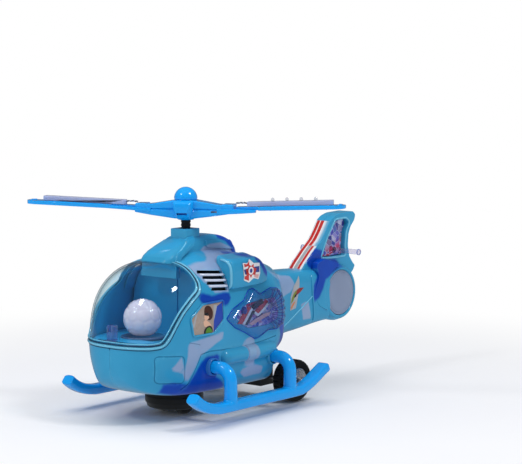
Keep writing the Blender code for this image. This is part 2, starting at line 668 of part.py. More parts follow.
# -------------------------------------------------------- bump-and-go unit
turn = empty("turntable_pivot", (*TURN_C, 20))
drum = turned("drive_turntable", [(0, 34), (9.7, 34), (9.7, 26), (TURN_R, 26), (TURN_R, 10), (22.5, 5.6), (0, 5.6)], 'z',
              (*TURN_C, 0), 26, M_BLACK, turn)
for sx in (-1, 1):
    boolean(drum, box("wheel_slot_%d" % sx, (9.6, 24.4, 26), (sx * FRONT_X, TURN_C[1], 11.2), tool=True))
boolean(drum, cyl("drive_bore", 1.9, 42, 'x', (0, TURN_C[1], FRONT_R), 14, tool=True))
spin = empty("drive_axle_pivot", (0, 0, FRONT_R - 20), turn)
for sx, t in ((1, "left"), (-1, "right")):
    turned("drive_wheel_" + t, [(1.8, 4), (8.5, 4), (10.2, 3.4), (FRONT_R, 2.2), (FRONT_R, -2.2), (10.2, -3.4), (8.5, -4), (1.8, -4)],
           'x', (sx * FRONT_X, TURN_C[1], FRONT_R), 20, M_RUBBER, spin)
cyl("drive_axle", 1.5, 38, 'x', (0, TURN_C[1], FRONT_R), 12, M_STEEL, spin)
gb = box("drive_gearbox", (42, 42, 18), (0, TURN_C[1], 36.5), M_WHITE)
boolean(gb, cyl("swivel_seat", 10.0, 16, 'z', (*TURN_C, 26.6), 28, tool=True))

# ----------------------------------------------------------------- battery
bb = box("battery_box", (55.6, 44.6, 17.0), (0, 32.6, 33.0), M_BLACK)
boolean(bb, box("cells_room", (53.0, 43.0, 17.0), (0, 32.6, 31.5), tool=True))
for i, y in enumerate((18.3, 32.6, 46.9)):
    turned("battery_cell_%d" % (i + 1), [(0, 25.0), (2.6, 25.0), (2.6, 23.6), (7.0, 23.6), (7.0, -25.0), (0, -25.0)] if i != 1 else
           [(0, 25.0), (7.0, 25.0), (7.0, -23.6), (2.6, -23.6), (2.6, -25.0), (0, -25.0)],
           'x', (0, y, 32.2), 16, M_CELL)
for sx, t in ((1, "left"), (-1, "right")):
    box("contact_plate_" + t, (0.6, 40, 11), (sx * 25.9, 32.6, 32.5), M_SPRING)
door = box("battery_door", (64.4, 44.0, 1.8), (3.4, 33.5, 22.9), M_BODY)
boolean(door, cyl("door_screw_hole", 2.9, 10, 'z', (32.2, 33.5, 22.9), 18, tool=True))
turned("battery_door_screw", [(0, 22.2), (2.6, 22.2), (2.6, 23.4), (1.2, 24.4), (1.2, 33.0), (0, 34.0)], 'z',
       (32.2, 33.5, 0), 14, M_STEEL)

# ------------------------------------------------------------- electronics
box("circuit_board", (52, 40, 1.6), (0, 33.5, 44.0), M_PCB)
speaker = turned("speaker", [(0, 60), (12, 60), (13.5, 58.5), (13.5, 56.5), (8, 56.5), (8, 51), (0, 51)], 'z', (0, 78, 0), 16, M_SPEAKER)
sw = box("power_switch", (8, 18, 7), (-34.5, 33.5, 31.2), M_BLACK)
slider = empty("power_switch_pivot", (-34.5, 31.0, 23))

# --------------------------------------------------- rotor drive and rotor
frame = box("rotor_gear_frame", (34, 46, 2.2), (0, 8, 99.0), M_WHITE)
boolean(frame, box("frame_top", (34, 46, 2.0), (0, 8, 121.0), tool=True), 'UNION')
boolean(frame, box("frame_back", (34, 2.0, 24.0), (0, 30.2, 110.0), tool=True), 'UNION')
boolean(frame, cyl("frame_bush_hole", 4.3, 10, 'z', (0, 0, 99), 20, tool=True))
boolean(frame, cyl("frame_shaft_hole", 5.0, 10, 'z', (0, 0, 121), 20, tool=True))
boolean(frame, cyl("frame_pinion_hole", 3.0, 10, 'z', (0, 18.0, 121), 16, tool=True))
turned("shaft_bush_lower", [(2.05, 103.0), (6.0, 103.0), (6.0, 100.4), (4.0, 100.4), (4.0, 97.6), (2.05, 97.6)], 'z', (0, 0, 0), 14, M_BRASS)
turned("shaft_bush_upper", [(2.05, 143.0), (4.4, 143.0), (4.4, 137.0), (6.6, 137.0), (6.6, 134.8), (2.05, 134.8)], 'z', (0, 0, 0), 14,
       M_BRASS)
motor = turned("rotor_motor", [(0, 135.6), (4, 135.6), (4, 134.4), (9.8, 134.4), (9.8, 122.5), (3, 122.5), (3, 123.8), (0, 123.8)],
               'z', (0, 18.0, 0), 16, M_STEEL)

rot = empty("rotor_pivot", (0, 0, 150))
pin = empty("pinion_pivot", (0, 18.0, 114))


def gear_outline(teeth, module, phase=0.0, thin=0.86):
    """Simple trapezoidal teeth on the pitch circle; 4 points a tooth."""
    r = teeth * module / 2
    ro, ri = r + 0.85 * module, r - 1.15 * module
    pts = []
    p = 2 * math.pi / teeth
    for i in range(teeth):
        a = phase + i * p
        for rad, da in ((ri, -0.30), (ro, -0.13), (ro, 0.13), (ri, 0.30)):
            pts.append((rad * math.cos(a + da * p * thin), rad * math.sin(a + da * p * thin)))
    return pts


def gear(name, teeth, bore, z0, z1, centre, phase, mat, parent):
    pts = [(x + centre[0], y + centre[1]) for x, y in gear_outline(teeth, GEAR_MOD, phase)]
    g = prism(name, pts, z0, z1, 'z', mat, parent)
    if bore:
        m = cyl(name + "_bore", bore, (z1 - z0) * 3, 'z', (*centre, (z0 + z1) / 2), 16, tool=True)
        boolean(g, m)
    return g


# a tooth of the gear points at the pinion, a gap of the pinion faces it
gear("rotor_gear", GEAR_T, SHAFT_R + 0.3, 112, 116, (0, 0), math.pi / 2, M_WHITE, rot)
gear("rotor_pinion", PINION_T, 0, 111.5, 116.5, (0, 18.0), -math.pi / 2 + math.pi / PINION_T, M_BRASS, pin)
cyl("rotor_motor_shaft", 0.9, 5.6, 'z', (0, 18.0, 119.6), 10, M_STEEL, pin)

cyl("rotor_shaft", SHAFT_R - 0.02, 83.2, 'z', (0, 0, 139.7), 16, M_STEEL, rot)
turned("shaft_sleeve", [(2.3, 163.7), (4.2, 163.7), (4.2, 144.0), (2.3, 144.0)], 'z', (0, 0, 0), 20, M_BLACK, rot)

RA = math.radians(ROTOR_ANGLE)


def rotor_xyz(s, t, z, side=1):
    """Blade coordinates (outward, across, up) to the mast frame.  The two
    blades mirror each other across the mast."""
    c = math.radians(CONE_DEG)
    zz = ROTOR_Z + z * math.cos(c) + max(s, 0) * math.sin(c)
    ss = side * (s * math.cos(c))
    return Vector((ss * math.cos(RA) - t * math.sin(RA), ss * math.sin(RA) + t * math.cos(RA), zz))


def blade_prism(name, outline, z0, z1, side, mat=None, parent=None, tool=False):
    bm = bmesh.new()
    low = [bm.verts.new(rotor_xyz(s, t, z0, side)) for s, t in outline]
    top = [bm.verts.new(rotor_xyz(s, t, z1, side)) for s, t in outline]
    n = len(outline)
    bm.faces.new(low)
    bm.faces.new(top)
    for i in range(n):
        bm.faces.new((low[i], low[(i + 1) % n], top[(i + 1) % n], top[i]))
    return obj(name, bm, mat, parent, tool)


def hub_arm(name, stations, side, across=False):
    """Tapered arm: stations of (reach, near t, far t, low z, high z)."""
    rings = []
    for s, t0, t1, z0, z1 in stations:
        ch = 0.22 * min(t1 - t0, z1 - z0)
        ring = []
        for t, z in ((t0, z0 + ch), (t0, z1 - ch), (t0 + ch, z1), (t1 - ch, z1), (t1, z1 - ch), (t1, z0 + ch),
                     (t1 - ch, z0), (t0 + ch, z0)):
            a = RA + (math.pi / 2 if across else 0.0)
            ss = side * s
            ring.append(Vector((ss * math.cos(a) - t * math.sin(a), ss * math.sin(a) + t * math.cos(a), z)))
        rings.append(ring)
    return obj(name, loft(rings), tool=True)


hub = turned("rotor_hub", [(0, 181.6), (9.6, 181.6), (10.4, 180.2), (10.4, 172), (8.5, 166.4), (7.0, 164.0), (0, 164.0)], 'z', (0, 0, 0), 20,
             M_AZURE, rot)
ARM = [(2, -8.5, 8.5, 165.0, 181.0), (14, -8.3, 8.3, 166.3, 180.2), (28, -8.0, 8.0, 168.0, 178.8), (43, -7.5, 7.5, 170.4, 177.6)]
for side, t in ((1, "l"), (-1, "r")):
    boolean(hub, hub_arm("arm_" + t, ARM, side), 'UNION')
    boolean(hub, hub_arm("prong_" + t, [(30, -8.6, -3.4, 169.0, 174.5), (63, -8.2, -4.0, 171.4, 173.4)], side), 'UNION')
    boolean(hub, hub_arm("stub_" + t, [(2, -8.5, 8.5, 165.0, 181.0), (13, -7.5, 7.5, 166.0, 179.5), (20, -5.5, 5.5, 167.5, 175.5)],
                         side, True), 'UNION')
boolean(hub, cyl("hub_bore", SHAFT_R + 0.3, 40, 'z', (0, 0, 163), 16, tool=True))
prof = [(0.0, 192.1)] + [(10.0 * math.sin(math.radians(a)), 182.1 + 10.0 * math.cos(math.radians(a)))
                         for a in (14, 28, 42, 56, 70, 82)] + [(10.0, 181.9), (0, 181.9)]
turned("hub_cap", prof, 'z', (0, 0, 0), 20, M_AZURE, rot)

for side, t in ((1, "left"), (-1, "right")):
    bl = [(43.8, -3.0), (63.8, -3.0), (63.8, -9.2), (131, -9.2), (136, -7), (ROTOR_R, -2), (ROTOR_R, 3), (135, 7), (129, 8.6), (43.8, 8.6)]
    frame_b = blade_prism("blade_" + t, bl, -1.5, 1.5, side, M_AZURE, rot)
    boolean(frame_b, blade_prism("blade_slot_" + t, [(66, -4.6), (122, -4.6), (122, -2.2), (66, -2.2)], -9, 9, side, tool=True))
    strip = blade_prism("blade_light_" + t, [(53.5, -1.6), (127, -1.6), (127, 7.6), (53.5, 7.6)], 1.8, 5.6, side, M_LAV, rot)
    boolean(strip, blade_prism("strip_room_" + t, [(54.8, -0.4), (125.8, -0.4), (125.8, 6.4), (54.8, 6.4)], 0, 4.5, side, tool=True))
    board = blade_prism("blade_led_board_" + t, [(56, 0.4), (124, 0.4), (124, 5.6), (56, 5.6)], 1.85, 2.9, side, M_PCB, rot)
    c = math.radians(CONE_DEG)
    for i, s0 in enumerate((75, 87.3, 99.6, 112)):
        p = rotor_xyz(s0, 3.0, 0, side)
        if side > 0:
            h0, h1 = 2.4, 8.6
            boolean(strip, cyl("led_hole_%s_%d" % (t, i), 1.8, 6, 'z', (p.x, p.y, p.z + 5), 14, tool=True))
            led = turned("led_%s_%d" % (t, i), [(0, h1), (0.8, h1 - 0.25), (1.3, h1 - 0.8), (1.5, h1 - 1.5), (1.5, h0), (0, h0)], 'z',
                         (p.x, p.y, p.z), 12, tool=True)
        else:
            led = box("led_%s_%d" % (t, i), (3.4, 2.6, 1.6), (p.x, p.y, p.z + 3.3), tool=True)
        boolean(board, led, 'UNION')
    wire_pts = []
    for k in range(9):
        u = k / 8
        wire_pts.append(rotor_xyz(43.6 + 9.6 * u, 3.2 + 1.0 * math.sin(u * 7.0), 4.2 + 0.5 * math.sin(u * math.pi), side))
    obj("blade_wire_" + t, sweep(wire_pts, 0.7, 6), M_WIRE, rot)

# --------------------------------------------------------- power switch
knob = box("power_switch_knob", (4.0, 5.0, 6.4), (-34.5, 31.0, 23.2), M_BLACK, slider)
boolean(knob, box("knob_plate", (6.6, 8.0, 1.2), (-34.5, 31.0, 26.4), tool=True), 'UNION')
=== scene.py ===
"""Toy helicopter: the visible model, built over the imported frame.

Lengths in the geometry below are millimetres in the toy's own axes: x to the
toy's left, y from nose to tail with the rotor mast at zero, z up from the
ground.  add() turns them into the frame's metres."""
import bpy
import bmesh
import json
import math
import numpy as np
from mathutils import Matrix, Vector, noise


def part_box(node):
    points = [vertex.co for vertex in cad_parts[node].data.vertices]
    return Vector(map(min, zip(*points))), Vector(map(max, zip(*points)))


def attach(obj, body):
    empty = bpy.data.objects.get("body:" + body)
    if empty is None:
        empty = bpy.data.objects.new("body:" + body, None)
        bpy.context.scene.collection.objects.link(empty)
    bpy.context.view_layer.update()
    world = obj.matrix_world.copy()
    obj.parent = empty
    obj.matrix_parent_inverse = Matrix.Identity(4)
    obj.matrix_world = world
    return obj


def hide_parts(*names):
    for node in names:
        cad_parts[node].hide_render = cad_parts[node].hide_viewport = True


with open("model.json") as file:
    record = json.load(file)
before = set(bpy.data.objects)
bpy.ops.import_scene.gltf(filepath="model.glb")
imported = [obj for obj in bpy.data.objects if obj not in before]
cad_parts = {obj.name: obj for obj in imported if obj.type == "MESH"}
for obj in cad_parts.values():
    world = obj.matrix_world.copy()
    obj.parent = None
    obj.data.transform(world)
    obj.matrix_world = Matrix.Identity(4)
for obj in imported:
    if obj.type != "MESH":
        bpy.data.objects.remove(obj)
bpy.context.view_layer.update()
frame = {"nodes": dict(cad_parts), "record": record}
scene = bpy.context.scene
MM = 0.001
lo_, hi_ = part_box("rotor_shaft")
YS = (lo_.y + hi_.y) / 2 / MM                     # the mast's place along the frame's Y
TO_FRAME = Matrix.Diagonal((MM, MM, MM, 1.0)) @ Matrix.Translation((0, YS, 0))
TRIM = bpy.data.collections.new("cutters")        # never linked to the scene


# ------------------------------------------------------------ small helpers
def lerp_table(table, y):
    """Smooth (Catmull-Rom) interpolation of rows (y, values...)."""
    ys = [row[0] for row in table]
    if y <= ys[0]:
        return list(table[0][1:])
    if y >= ys[-1]:
        return list(table[-1][1:])
    k = max(i for i in range(len(ys) - 1) if ys[i] <= y)
    out = []
    y0, y1 = ys[k], ys[k + 1]
    t = (y - y0) / (y1 - y0)
    for c in range(1, len(table[0])):
        p0, p1 = table[k][c], table[k + 1][c]
        m0 = (p1 - table[k - 1][c]) / (y1 - ys[k - 1]) if k > 0 else 0.0
        m1 = (table[k + 2][c] - p0) / (ys[k + 2] - y0) if k + 2 < len(ys) else 0.0
        if (p1 - p0) * m0 <= 0:
            m0 = 0.0
        if (p1 - p0) * m1 <= 0:
            m1 = 0.0
        lim = 3 * abs(p1 - p0) / (y1 - y0)
        m0 = max(-lim, min(lim, m0)) * (y1 - y0)
        m1 = max(-lim, min(lim, m1)) * (y1 - y0)
        out.append((2 * t ** 3 - 3 * t ** 2 + 1) * p0 + (t ** 3 - 2 * t ** 2 + t) * m0 +
                   (-2 * t ** 3 + 3 * t ** 2) * p1 + (t ** 3 - t ** 2) * m1)
    return out


def spline(ctrl, n):
    """Quadratic B-spline through a clamped control polygon, n+1 points."""
    m = len(ctrl) - 2
    out = []
    for s in range(n + 1):
        u = s / n * m
        k = min(int(u), m - 1)
        t = u - k
        a, b, c = (Vector(ctrl[k]), Vector(ctrl[k + 1]), Vector(ctrl[k + 2]))
        pa = a if k == 0 else (a + b) / 2
        pc = c if k == m - 1 else (b + c) / 2
        out.append(pa * (1 - t) ** 2 + b * 2 * t * (1 - t) + pc * t ** 2)
    return out


def rounded(outline, r, n=5):
    """A closed 2-D outline with its corners rounded to about r."""
    out = []
    m = len(outline)
    for i in range(m):
        p = Vector(outline[i][:2])
        a = Vector(outline[i - 1][:2]) - p
        b = Vector(outline[(i + 1) % m][:2]) - p
        ra = min(r, a.length * 0.45)
        rb = min(r, b.length * 0.45)
        p0, p2 = p + a.normalized() * ra, p + b.normalized() * rb
        for k in range(n + 1):
            t = k / n
            q = p0 * (1 - t) ** 2 + p * 2 * t * (1 - t) + p2 * t ** 2
            out.append((q.x, q.y))
    return out


def smooth_path(pts, step=2.0, closed=False):
    """Catmull-Rom through 3-D points, at about one point per step."""
    P = [Vector(p) for p in pts]
    n = len(P)
    out = []
    last = n if closed else n - 1
    for i in range(last):
        p0 = P[i - 1] if (closed or i > 0) else P[0] * 2 - P[1]
        p1, p2 = P[i], P[(i + 1) % n]
        p3 = P[(i + 2) % n] if (closed or i + 2 < n) else P[-1] * 2 - P[-2]
        k = max(1, int((p2 - p1).length / step))
        for s in range(k):
            t = s / k
            out.append(0.5 * ((2 * p1) + (p2 - p0) * t + (2 * p0 - 5 * p1 + 4 * p2 - p3) * t * t +
                              (3 * p1 - p0 - 3 * p2 + p3) * t ** 3))
    if not closed:
        out.append(P[-1])
    return out


def straight_path(pts, step=2.0, closed=False):
    P = [Vector(p) for p in pts]
    out = []
    n = len(P)
    for i in range(n if closed else n - 1):
        a, b = P[i], P[(i + 1) % n]
        k = max(1, int((b - a).length / step))
        out += [a.lerp(b, s / k) for s in range(k)]
    if not closed:
        out.append(P[-1])
    return out


def axis_matrix(axis, centre=(0, 0, 0)):
    rot = {'x': Matrix.Rotation(math.radians(90), 4, 'Y'), 'y': Matrix.Rotation(math.radians(-90), 4, 'X'),
           'z': Matrix.Identity(4)}[axis]
    return Matrix.Translation(Vector(centre)) @ rot


def loft(rings, close_ends=True, closed_ring=True, bm=None):
    bm = bm or bmesh.new()
    vs = [[bm.verts.new(p) for p in r] for r in rings]
    n = len(rings[0])
    for a, b in zip(vs, vs[1:]):
        for i in range(n if closed_ring else n - 1):
            j = (i + 1) % n
            bm.faces.new((a[i], a[j], b[j], b[i]))
    if close_ends:
        bm.faces.new(vs[0])
        bm.faces.new(vs[-1])
    return bm


def sweep(points, r, seg=12, squash=(1.0, 1.0), up=(0, 0, 1), closed=False, bm=None, power=2.0):
    """A tube of (super)elliptical section along a path."""
    pts = [Vector(p) for p in points]
    n = len(pts)
    rings = []
    for i, p in enumerate(pts):
        if closed:
            t = (pts[(i + 1) % n] - pts[i - 1]).normalized()
        else:
            t = (pts[min(i + 1, n - 1)] - pts[max(i - 1, 0)]).normalized()
        side = t.cross(Vector(up)).normalized()
        top = side.cross(t).normalized()
        rr = r[i] if isinstance(r, (list, tuple)) else r
        ring = []
        for k in range(seg):
            a = 2 * math.pi * (k + 0.5) / seg
            c, s = math.cos(a), math.sin(a)
            c = math.copysign(abs(c) ** (2 / power), c)
            s = math.copysign(abs(s) ** (2 / power), s)
            ring.append(p + side * (rr * squash[0] * c) + top * (rr * squash[1] * s))
        rings.append(ring)
    if closed:
        rings.append(rings[0])
        bm = bm or bmesh.new()
        vs = [[bm.verts.new(p) for p in ring] for ring in rings[:-1]]
        for i in range(n):
            a, b = vs[i], vs[(i + 1) % n]
            for k in range(seg):
                bm.faces.new((a[k], a[(k + 1) % seg], b[(k + 1) % seg], b[k]))
        return bm
    return loft(rings, bm=bm)


def turned(profile, axis, centre, seg=64, bm=None, wave=None):
    """A (radius, height) profile turned about an axis; wave(angle, r, h) can change the radius."""
    bm = bm or bmesh.new()
    closed = all(r > 1e-6 for r, _ in profile)
    m = axis_matrix(axis, centre)
    rings = []
    for r, h in profile:
        if r <= 1e-6:
            rings.append([bm.verts.new(m @ Vector((0, 0, h)))])
        else:
            ring = []
            for i in range(seg):
                a = 2 * math.pi * i / seg
                rr = wave(a, r, h) if wave else r
                ring.append(bm.verts.new(m @ Vector((rr * math.cos(a), rr * math.sin(a), h))))
            rings.append(ring)
    n = len(rings)
    for k in range(n if closed else n - 1):
        a, b = rings[k], rings[(k + 1) % n]
        for i in range(seg):
            j = (i + 1) % seg
            if len(a) == 1 and len(b) == 1:
                continue
            if len(a) == 1:
                bm.faces.new((a[0], b[j], b[i]))
            elif len(b) == 1:
                bm.faces.new((a[i], a[j], b[0]))
            else:
                bm.faces.new((a[i], a[j], b[j], b[i]))
    return bm


def prism(outline, lo, hi, axis='x', bm=None):
    put = {'x': lambda a, b, t: (t, a, b), 'y': lambda a, b, t: (a, t, b), 'z': lambda a, b, t: (a, b, t)}[axis]
    bm = bm or bmesh.new()
    low = [bm.verts.new(put(a, b, lo)) for a, b in outline]
    top = [bm.verts.new(put(a, b, hi)) for a, b in outline]
    n = len(outline)
    bm.faces.new(low)
    bm.faces.new(top)
    for i in range(n):
        j = (i + 1) % n
        bm.faces.new((low[i], low[j], top[j], top[i]))
    return bm


def block(size, centre, rot=None, bm=None):
    bm = bm or bmesh.new()
    m = Matrix.Translation(Vector(centre))
    if rot is not None:
        m = m @ rot
    bmesh.ops.create_cube(bm, size=1.0, matrix=m @ Matrix.Diagonal((*size, 1.0)))
    return bm


def soften(bm, width, segments=3, angle=30):
    """Rounds every edge sharper than angle."""
    bmesh.ops.recalc_face_normals(bm, faces=bm.faces)
    edges = [e for e in bm.edges if len(e.link_faces) == 2 and e.calc_face_angle(0) > math.radians(angle)]
    if edges:
        bmesh.ops.bevel(bm, geom=edges, offset=width, segments=segments, profile=0.5, affect='EDGES',
                        clamp_overlap=True)
    return bm


def mirrored(bm):
    bmesh.ops.transform(bm, matrix=Matrix.Scale(-1, 4, (1, 0, 0)), verts=bm.verts)
    bmesh.ops.reverse_faces(bm, faces=bm.faces)
    return bm


def to_object(name, bm, link=True):
    bmesh.ops.recalc_face_normals(bm, faces=bm.faces)
    me = bpy.data.meshes.new(name)
    bm.to_mesh(me)
    bm.free()
    me.transform(TO_FRAME)
    o = bpy.data.objects.new(name, me)
    if link:
        scene.collection.objects.link(o)
    return o


def apply_all(o):
    dg = bpy.context.evaluated_depsgraph_get()
    dg.update()
    me = bpy.data.meshes.new_from_object(o.evaluated_get(dg))
    old = o.data
    o.modifiers.clear()
    o.data = me
    me.name = o.name
    bpy.data.meshes.remove(old)


def cut(o, bm, op='DIFFERENCE'):
    """Cuts (or joins) with a closed tool."""
    tool = to_object("tool", bm)
    before = o.data.copy()
    for solver in ('MANIFOLD', 'EXACT'):
        m = o.modifiers.new("cut", 'BOOLEAN')
        m.operation = op
        m.object = tool
        m.solver = solver
        apply_all(o)
        if len(o.data.polygons) > 3 and len(o.data.polygons) != len(before.polygons):
            break
        if solver == 'MANIFOLD':
            o.data = before.copy()
    bpy.data.objects.remove(tool)
    return o


def finish(o, mats, body="airframe", rep=(), sharp=32, weighted=False):
    """Materials, shading and the frame's book-keeping for one piece."""
    mats = list(mats) if isinstance(mats, (list, tuple)) else [mats]
    if list(o.data.materials) != mats:
        o.data.materials.clear()
        for m in mats:
            o.data.materials.append(m)
    o.data.shade_smooth()
    if sharp:
        o.data.set_sharp_from_angle(angle=math.radians(sharp))
    if weighted:
        w = o.modifiers.new("normals", 'WEIGHTED_NORMAL')
        w.keep_sharp = True
        w.weight = 60
    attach(o, body)
    if rep:
        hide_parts(*rep)
    return o


def add(name, bm, mats, body="airframe", rep=(), sharp=32, weighted=False):
    return finish(to_object(name, bm), mats, body, rep, sharp, weighted)


# --------------------------------------------------- the fuselage's surface
NOSE_Y, NOSE_L, NOSE_Z = -36.0, 60.0, 54.0
BODY = [
    (-36, 22, 31, 48, 25, 50.5, 58, 48.5, 97, 41.5, 120, 22, 132.5),
    (-10, 22, 32, 49.5, 24, 51.5, 58, 50, 98, 43, 122, 22, 140),
    (25, 22, 32, 50, 24, 51.5, 58, 50, 98, 43, 121, 20, 139),
    (48, 22, 32, 50, 24, 51.3, 58, 49.6, 97, 43, 119, 20, 134),
    (57.5, 22.5, 32, 49.6, 25, 51, 58, 49.3, 96, 43, 118, 20, 132),
    (62, 40, 32, 49, 45, 50.5, 64, 49, 96, 42.5, 117, 20, 130.5),
    (67, 44, 30, 47.5, 47, 49.5, 66, 48, 95, 41.5, 115.5, 20, 128.5),
    (80, 45, 26, 41.5, 50, 44.5, 68, 42.5, 92, 37, 111.5, 18, 123),
    (90, 46, 20, 34, 52, 37, 70, 35.5, 90, 30, 109, 17, 120),
    (100, 48, 15, 25, 54, 28, 70, 27, 90, 23, 105, 14, 114),
    (111, 50, 11, 18.5, 56, 20.5, 71, 20, 90, 18, 102, 11, 110.5),
    (142, 52.5, 10, 15.5, 58, 17, 72, 16.5, 91, 15.5, 102, 10, 108.5),
    (190, 56, 9, 14, 61, 15, 73, 14.8, 91, 14, 101, 9, 106.5),
]


def body_ctrl(y):
    v = lerp_table(BODY, max(y, NOSE_Y))
    zb, wb, zt = v[0], v[1], v[11]
    pts = [(0, zb), (wb, zb), (v[2], v[3]), (v[4], v[5]), (v[6], v[7]), (v[8], v[9]), (v[10], zt), (0, zt)]
    if y < NOSE_Y:
        t = min((NOSE_Y - y) / NOSE_L, 0.99999)
        sw = (1 - t ** 2.4) ** (1 / 2.4)
        su = (1 - t ** 2.15) ** (1 / 2.15)
        sl = (1 - t ** 2.6) ** (1 / 2.6)
        chin = 0.30 * t
        pts = [(x * sw * (1 - chin * max(0.0, NOSE_Z - z) / 32),
                NOSE_Z + (z - NOSE_Z) * (su if z > NOSE_Z else sl)) for x, z in pts]
    return pts


def body_section(y, n):
    return [Vector((p.x, y, p.z)) for p in spline([(x, 0, z) for x, z in body_ctrl(y)], n)]


_sections = {}


def section_table(y):
    key = round(y * 2) / 2
    if key not in _sections:
        s = body_section(key, 72)
        _sections[key] = ([p.z for p in s], [p.x for p in s])
    return _sections[key]


def side_x(y, z):
    """Half width of the body at (y, z)."""
    k = math.floor(y * 2) / 2
    t = (y - k) * 2
    out = []
    for kk in (k, k + 0.5):
        zs, xs = section_table(kk)
        out.append(float(np.interp(z, zs, xs)))
    return out[0] * (1 - t) + out[1] * t


def roof_z(y, x=0.0):
    s = body_section(y, 60)
    half = [(p.x, p.z) for p in s if p.z > 100]
    half.sort()
    return float(np.interp(abs(x), [a for a, _ in half], [b for _, b in half]))


def side_normal(y, z):
    e = 0.6
    dxdy = (side_x(y + e, z) - side_x(y - e, z)) / (2 * e)
    dxdz = (side_x(y, z + e) - side_x(y, z - e)) / (2 * e)
    return Vector((1, -dxdy, -dxdz)).normalized()


def on_side(y, z, off=0.0, side=1):
    p = Vector((side_x(y, z), y, z)) + side_normal(y, z) * off
    return Vector((p.x * side, p.y, p.z))


def rings_at(stations, n=40, grow=0.0):
    rings = []
    for y in stations:
        half = body_section(y, n)
        moved = []
        for i, p in enumerate(half):
            a, b = half[max(i - 1, 0)], half[min(i + 1, n)]
            d = Vector((b.z - a.z, 0, a.x - b.x))
            if i == 0:
                d = Vector((0, 0, -1))
            if i == n:
                d = Vector((0, 0, 1))
            moved.append(p + d.normalized() * grow)
        rings.append(moved + [Vector((-p.x, p.y, p.z)) for p in moved[-2:0:-1]])
    return rings


def nose_y(count, first=87.5):
    return [NOSE_Y - NOSE_L * math.sin(math.radians(first * (1 - k / count))) for k in range(count)]


def solid_body(grow, y0, y1, n=40, step=3.0):
    """A solid of the body's shape between two stations, moved out by grow."""
    st = [y for y in nose_y(22) if y0 < y < y1]
    k = max(2, int((y1 - max(y0, NOSE_Y)) / step))
    st += [max(y0, NOSE_Y) + (y1 - max(y0, NOSE_Y)) * i / k for i in range(k + 1)]
    if y0 < NOSE_Y:
        st = [y0] + [y for y in st if y > y0 + 0.2]
    return loft(rings_at(sorted(set(round(v, 3) for v in st)), n, grow))


# ---------------------------------------------------------------- materials
def srgb(r, g, b, a=1.0):
    f = lambda c: (c / 255) / 12.92 if c / 255 <= 0.04045 else ((c / 255 + 0.055) / 1.055) ** 2.4
    return (f(r), f(g), f(b), a)


